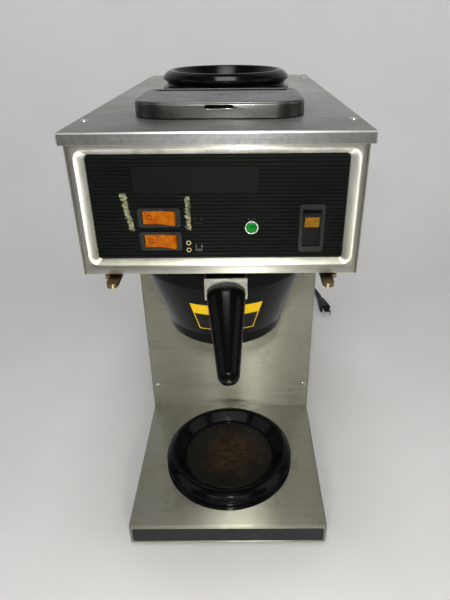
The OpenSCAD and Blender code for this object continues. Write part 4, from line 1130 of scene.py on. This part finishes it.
def build_tie():
    """A flat tie round the coil's bundle, with its two ends twisted together outside."""
    turn = math.radians(205)
    outward = Vector((math.cos(turn), math.sin(turn), 0))
    along = Vector((-math.sin(turn), math.cos(turn), 0))
    middle_at = at(COIL_X, COIL_Y, 7.9) + outward * 41 * MM
    rings = []
    for v, grow in ((-2, 0), (-1.4, 0.35), (1.4, 0.35), (2, 0), (1.4, -0.3), (-1.4, -0.3)):
        loop = ring_rect(23.4 + 2 * grow, 14.6 + 2 * grow, 4.5 + grow, 5)
        rings.append([middle_at + outward * (u * MM) + along * (v * MM) + Vector((0, 0, w * MM))
                      for u, w in loop])
    new_piece("cord_tie", *joined_rings(rings, closed=True), TIE_BLACK, slot="cord_jacket")
    verts, faces = [], []
    for end in (0, math.pi):
        tail = []
        for step in range(13):
            angle = end + step * 0.55
            centre = (middle_at + outward * (12 + step * 0.75) * MM
                      + (along * math.cos(angle) + Vector((0, 0, 1)) * math.sin(angle)) * 0.8 * MM)
            tail.append([centre + (along * math.cos(a) + Vector((0, 0, 1)) * math.sin(a)) * 0.75 * MM
                         for a in (2 * math.pi * k / 10 for k in range(10))])
        base = len(verts)
        more_verts, more_faces = joined_rings(tail, caps=(True, True))
        verts += more_verts
        faces += [tuple(base + i for i in face) for face in more_faces]
    new_piece("cord_tie_ends", verts, faces, TIE_BLACK, slot="cord_jacket")


TIE_BLACK = moulded("tie_black", (0.03, 0.03, 0.03), 0.45, 900, 0.1, 0.2)
build_tie()
JACKET = moulded("cord_jacket", (0.012, 0.012, 0.013), 0.45, 900, 0.1, 0.1)
build_cord()

# ---------- Floor and light ----------


def build_stage():
    mesh = bpy.data.meshes.new("floor")
    span, back, radius, steps = 3.0, 0.75, 0.35, 16
    path = [(-2.5, 0.0)] + [(back - radius + radius * math.sin(a), radius - radius * math.cos(a))
                            for a in (math.pi / 2 * i / steps for i in range(steps + 1))] + [(back, 2.5)]
    verts = [(x, y, z) for x in (-span, span) for y, z in path]
    n = len(path)
    mesh.from_pydata(verts, [], [(i, i + 1, n + i + 1, n + i) for i in range(n - 1)])
    mesh.polygons.foreach_set("use_smooth", [True] * len(mesh.polygons))
    mesh.materials.append(cloth_floor())
    floor = linked("floor", mesh)


def add_light(name, kind, place_at, target, energy, size, colour=(1, 1, 1)):
    data = bpy.data.lights.new(name, kind)
    data.energy = energy
    data.color = colour
    if kind == "AREA":
        data.shape = "RECTANGLE"
        data.size, data.size_y = size
    else:
        data.shadow_soft_size = size
    made = linked(name, data)
    aim = Vector(target) - Vector(place_at)
    made.rotation_euler = aim.to_track_quat("-Z", "Y").to_euler()
    made.location = place_at
    return made


def build_light():
    """A lamp close to the camera, soft fill from above and both sides, and a dim room."""
    world = bpy.data.worlds.new("room")
    bpy.context.scene.world = world
    world.use_nodes = True
    tree = world.node_tree
    sky = add_node(tree, "ShaderNodeTexCoord").outputs["Generated"]
    height = add_node(tree, "ShaderNodeSeparateXYZ", None, Vector=sky).outputs[2]
    room = blend_colour(tree, spread(tree, height, -0.1, 0.5), (0.16, 0.155, 0.14), (0.03, 0.03, 0.035))
    tree.links.new(room, tree.nodes["Background"].inputs[0])
    tree.nodes["Background"].inputs[1].default_value = 0.8
    add_light("near_lamp", "POINT", CAMERA_AT + Vector((-0.004, 0.0, 0.05)), (0, 0, 0.2), 5, 0.018)
    add_light("ceiling", "AREA", (0, -0.1, 1.9), (0, 0.05, 0.2), 12, (0.55, 0.45), (1, 0.99, 0.97))
    add_light("front", "AREA", (0, -1.5, 1.5), (0, -1.2, 0), 14, (2.2, 0.9), (1, 0.97, 0.9))
    add_light("low", "POINT", (0.0166, -0.45, 0.16), (0, 0, 0.1), 1.1, 0.02, (1, 0.99, 0.9))
    add_light("left", "AREA", (-1.3, -0.3, 1.1), (0, 0.1, 0.2), 3, (0.9, 1.2))
    add_light("right", "AREA", (1.3, -0.3, 1.1), (0, 0.1, 0.2), 4.2, (0.9, 1.2), (1, 0.98, 0.95))


build_stage()
build_light()
bpy.context.scene.view_settings.view_transform = "Standard"
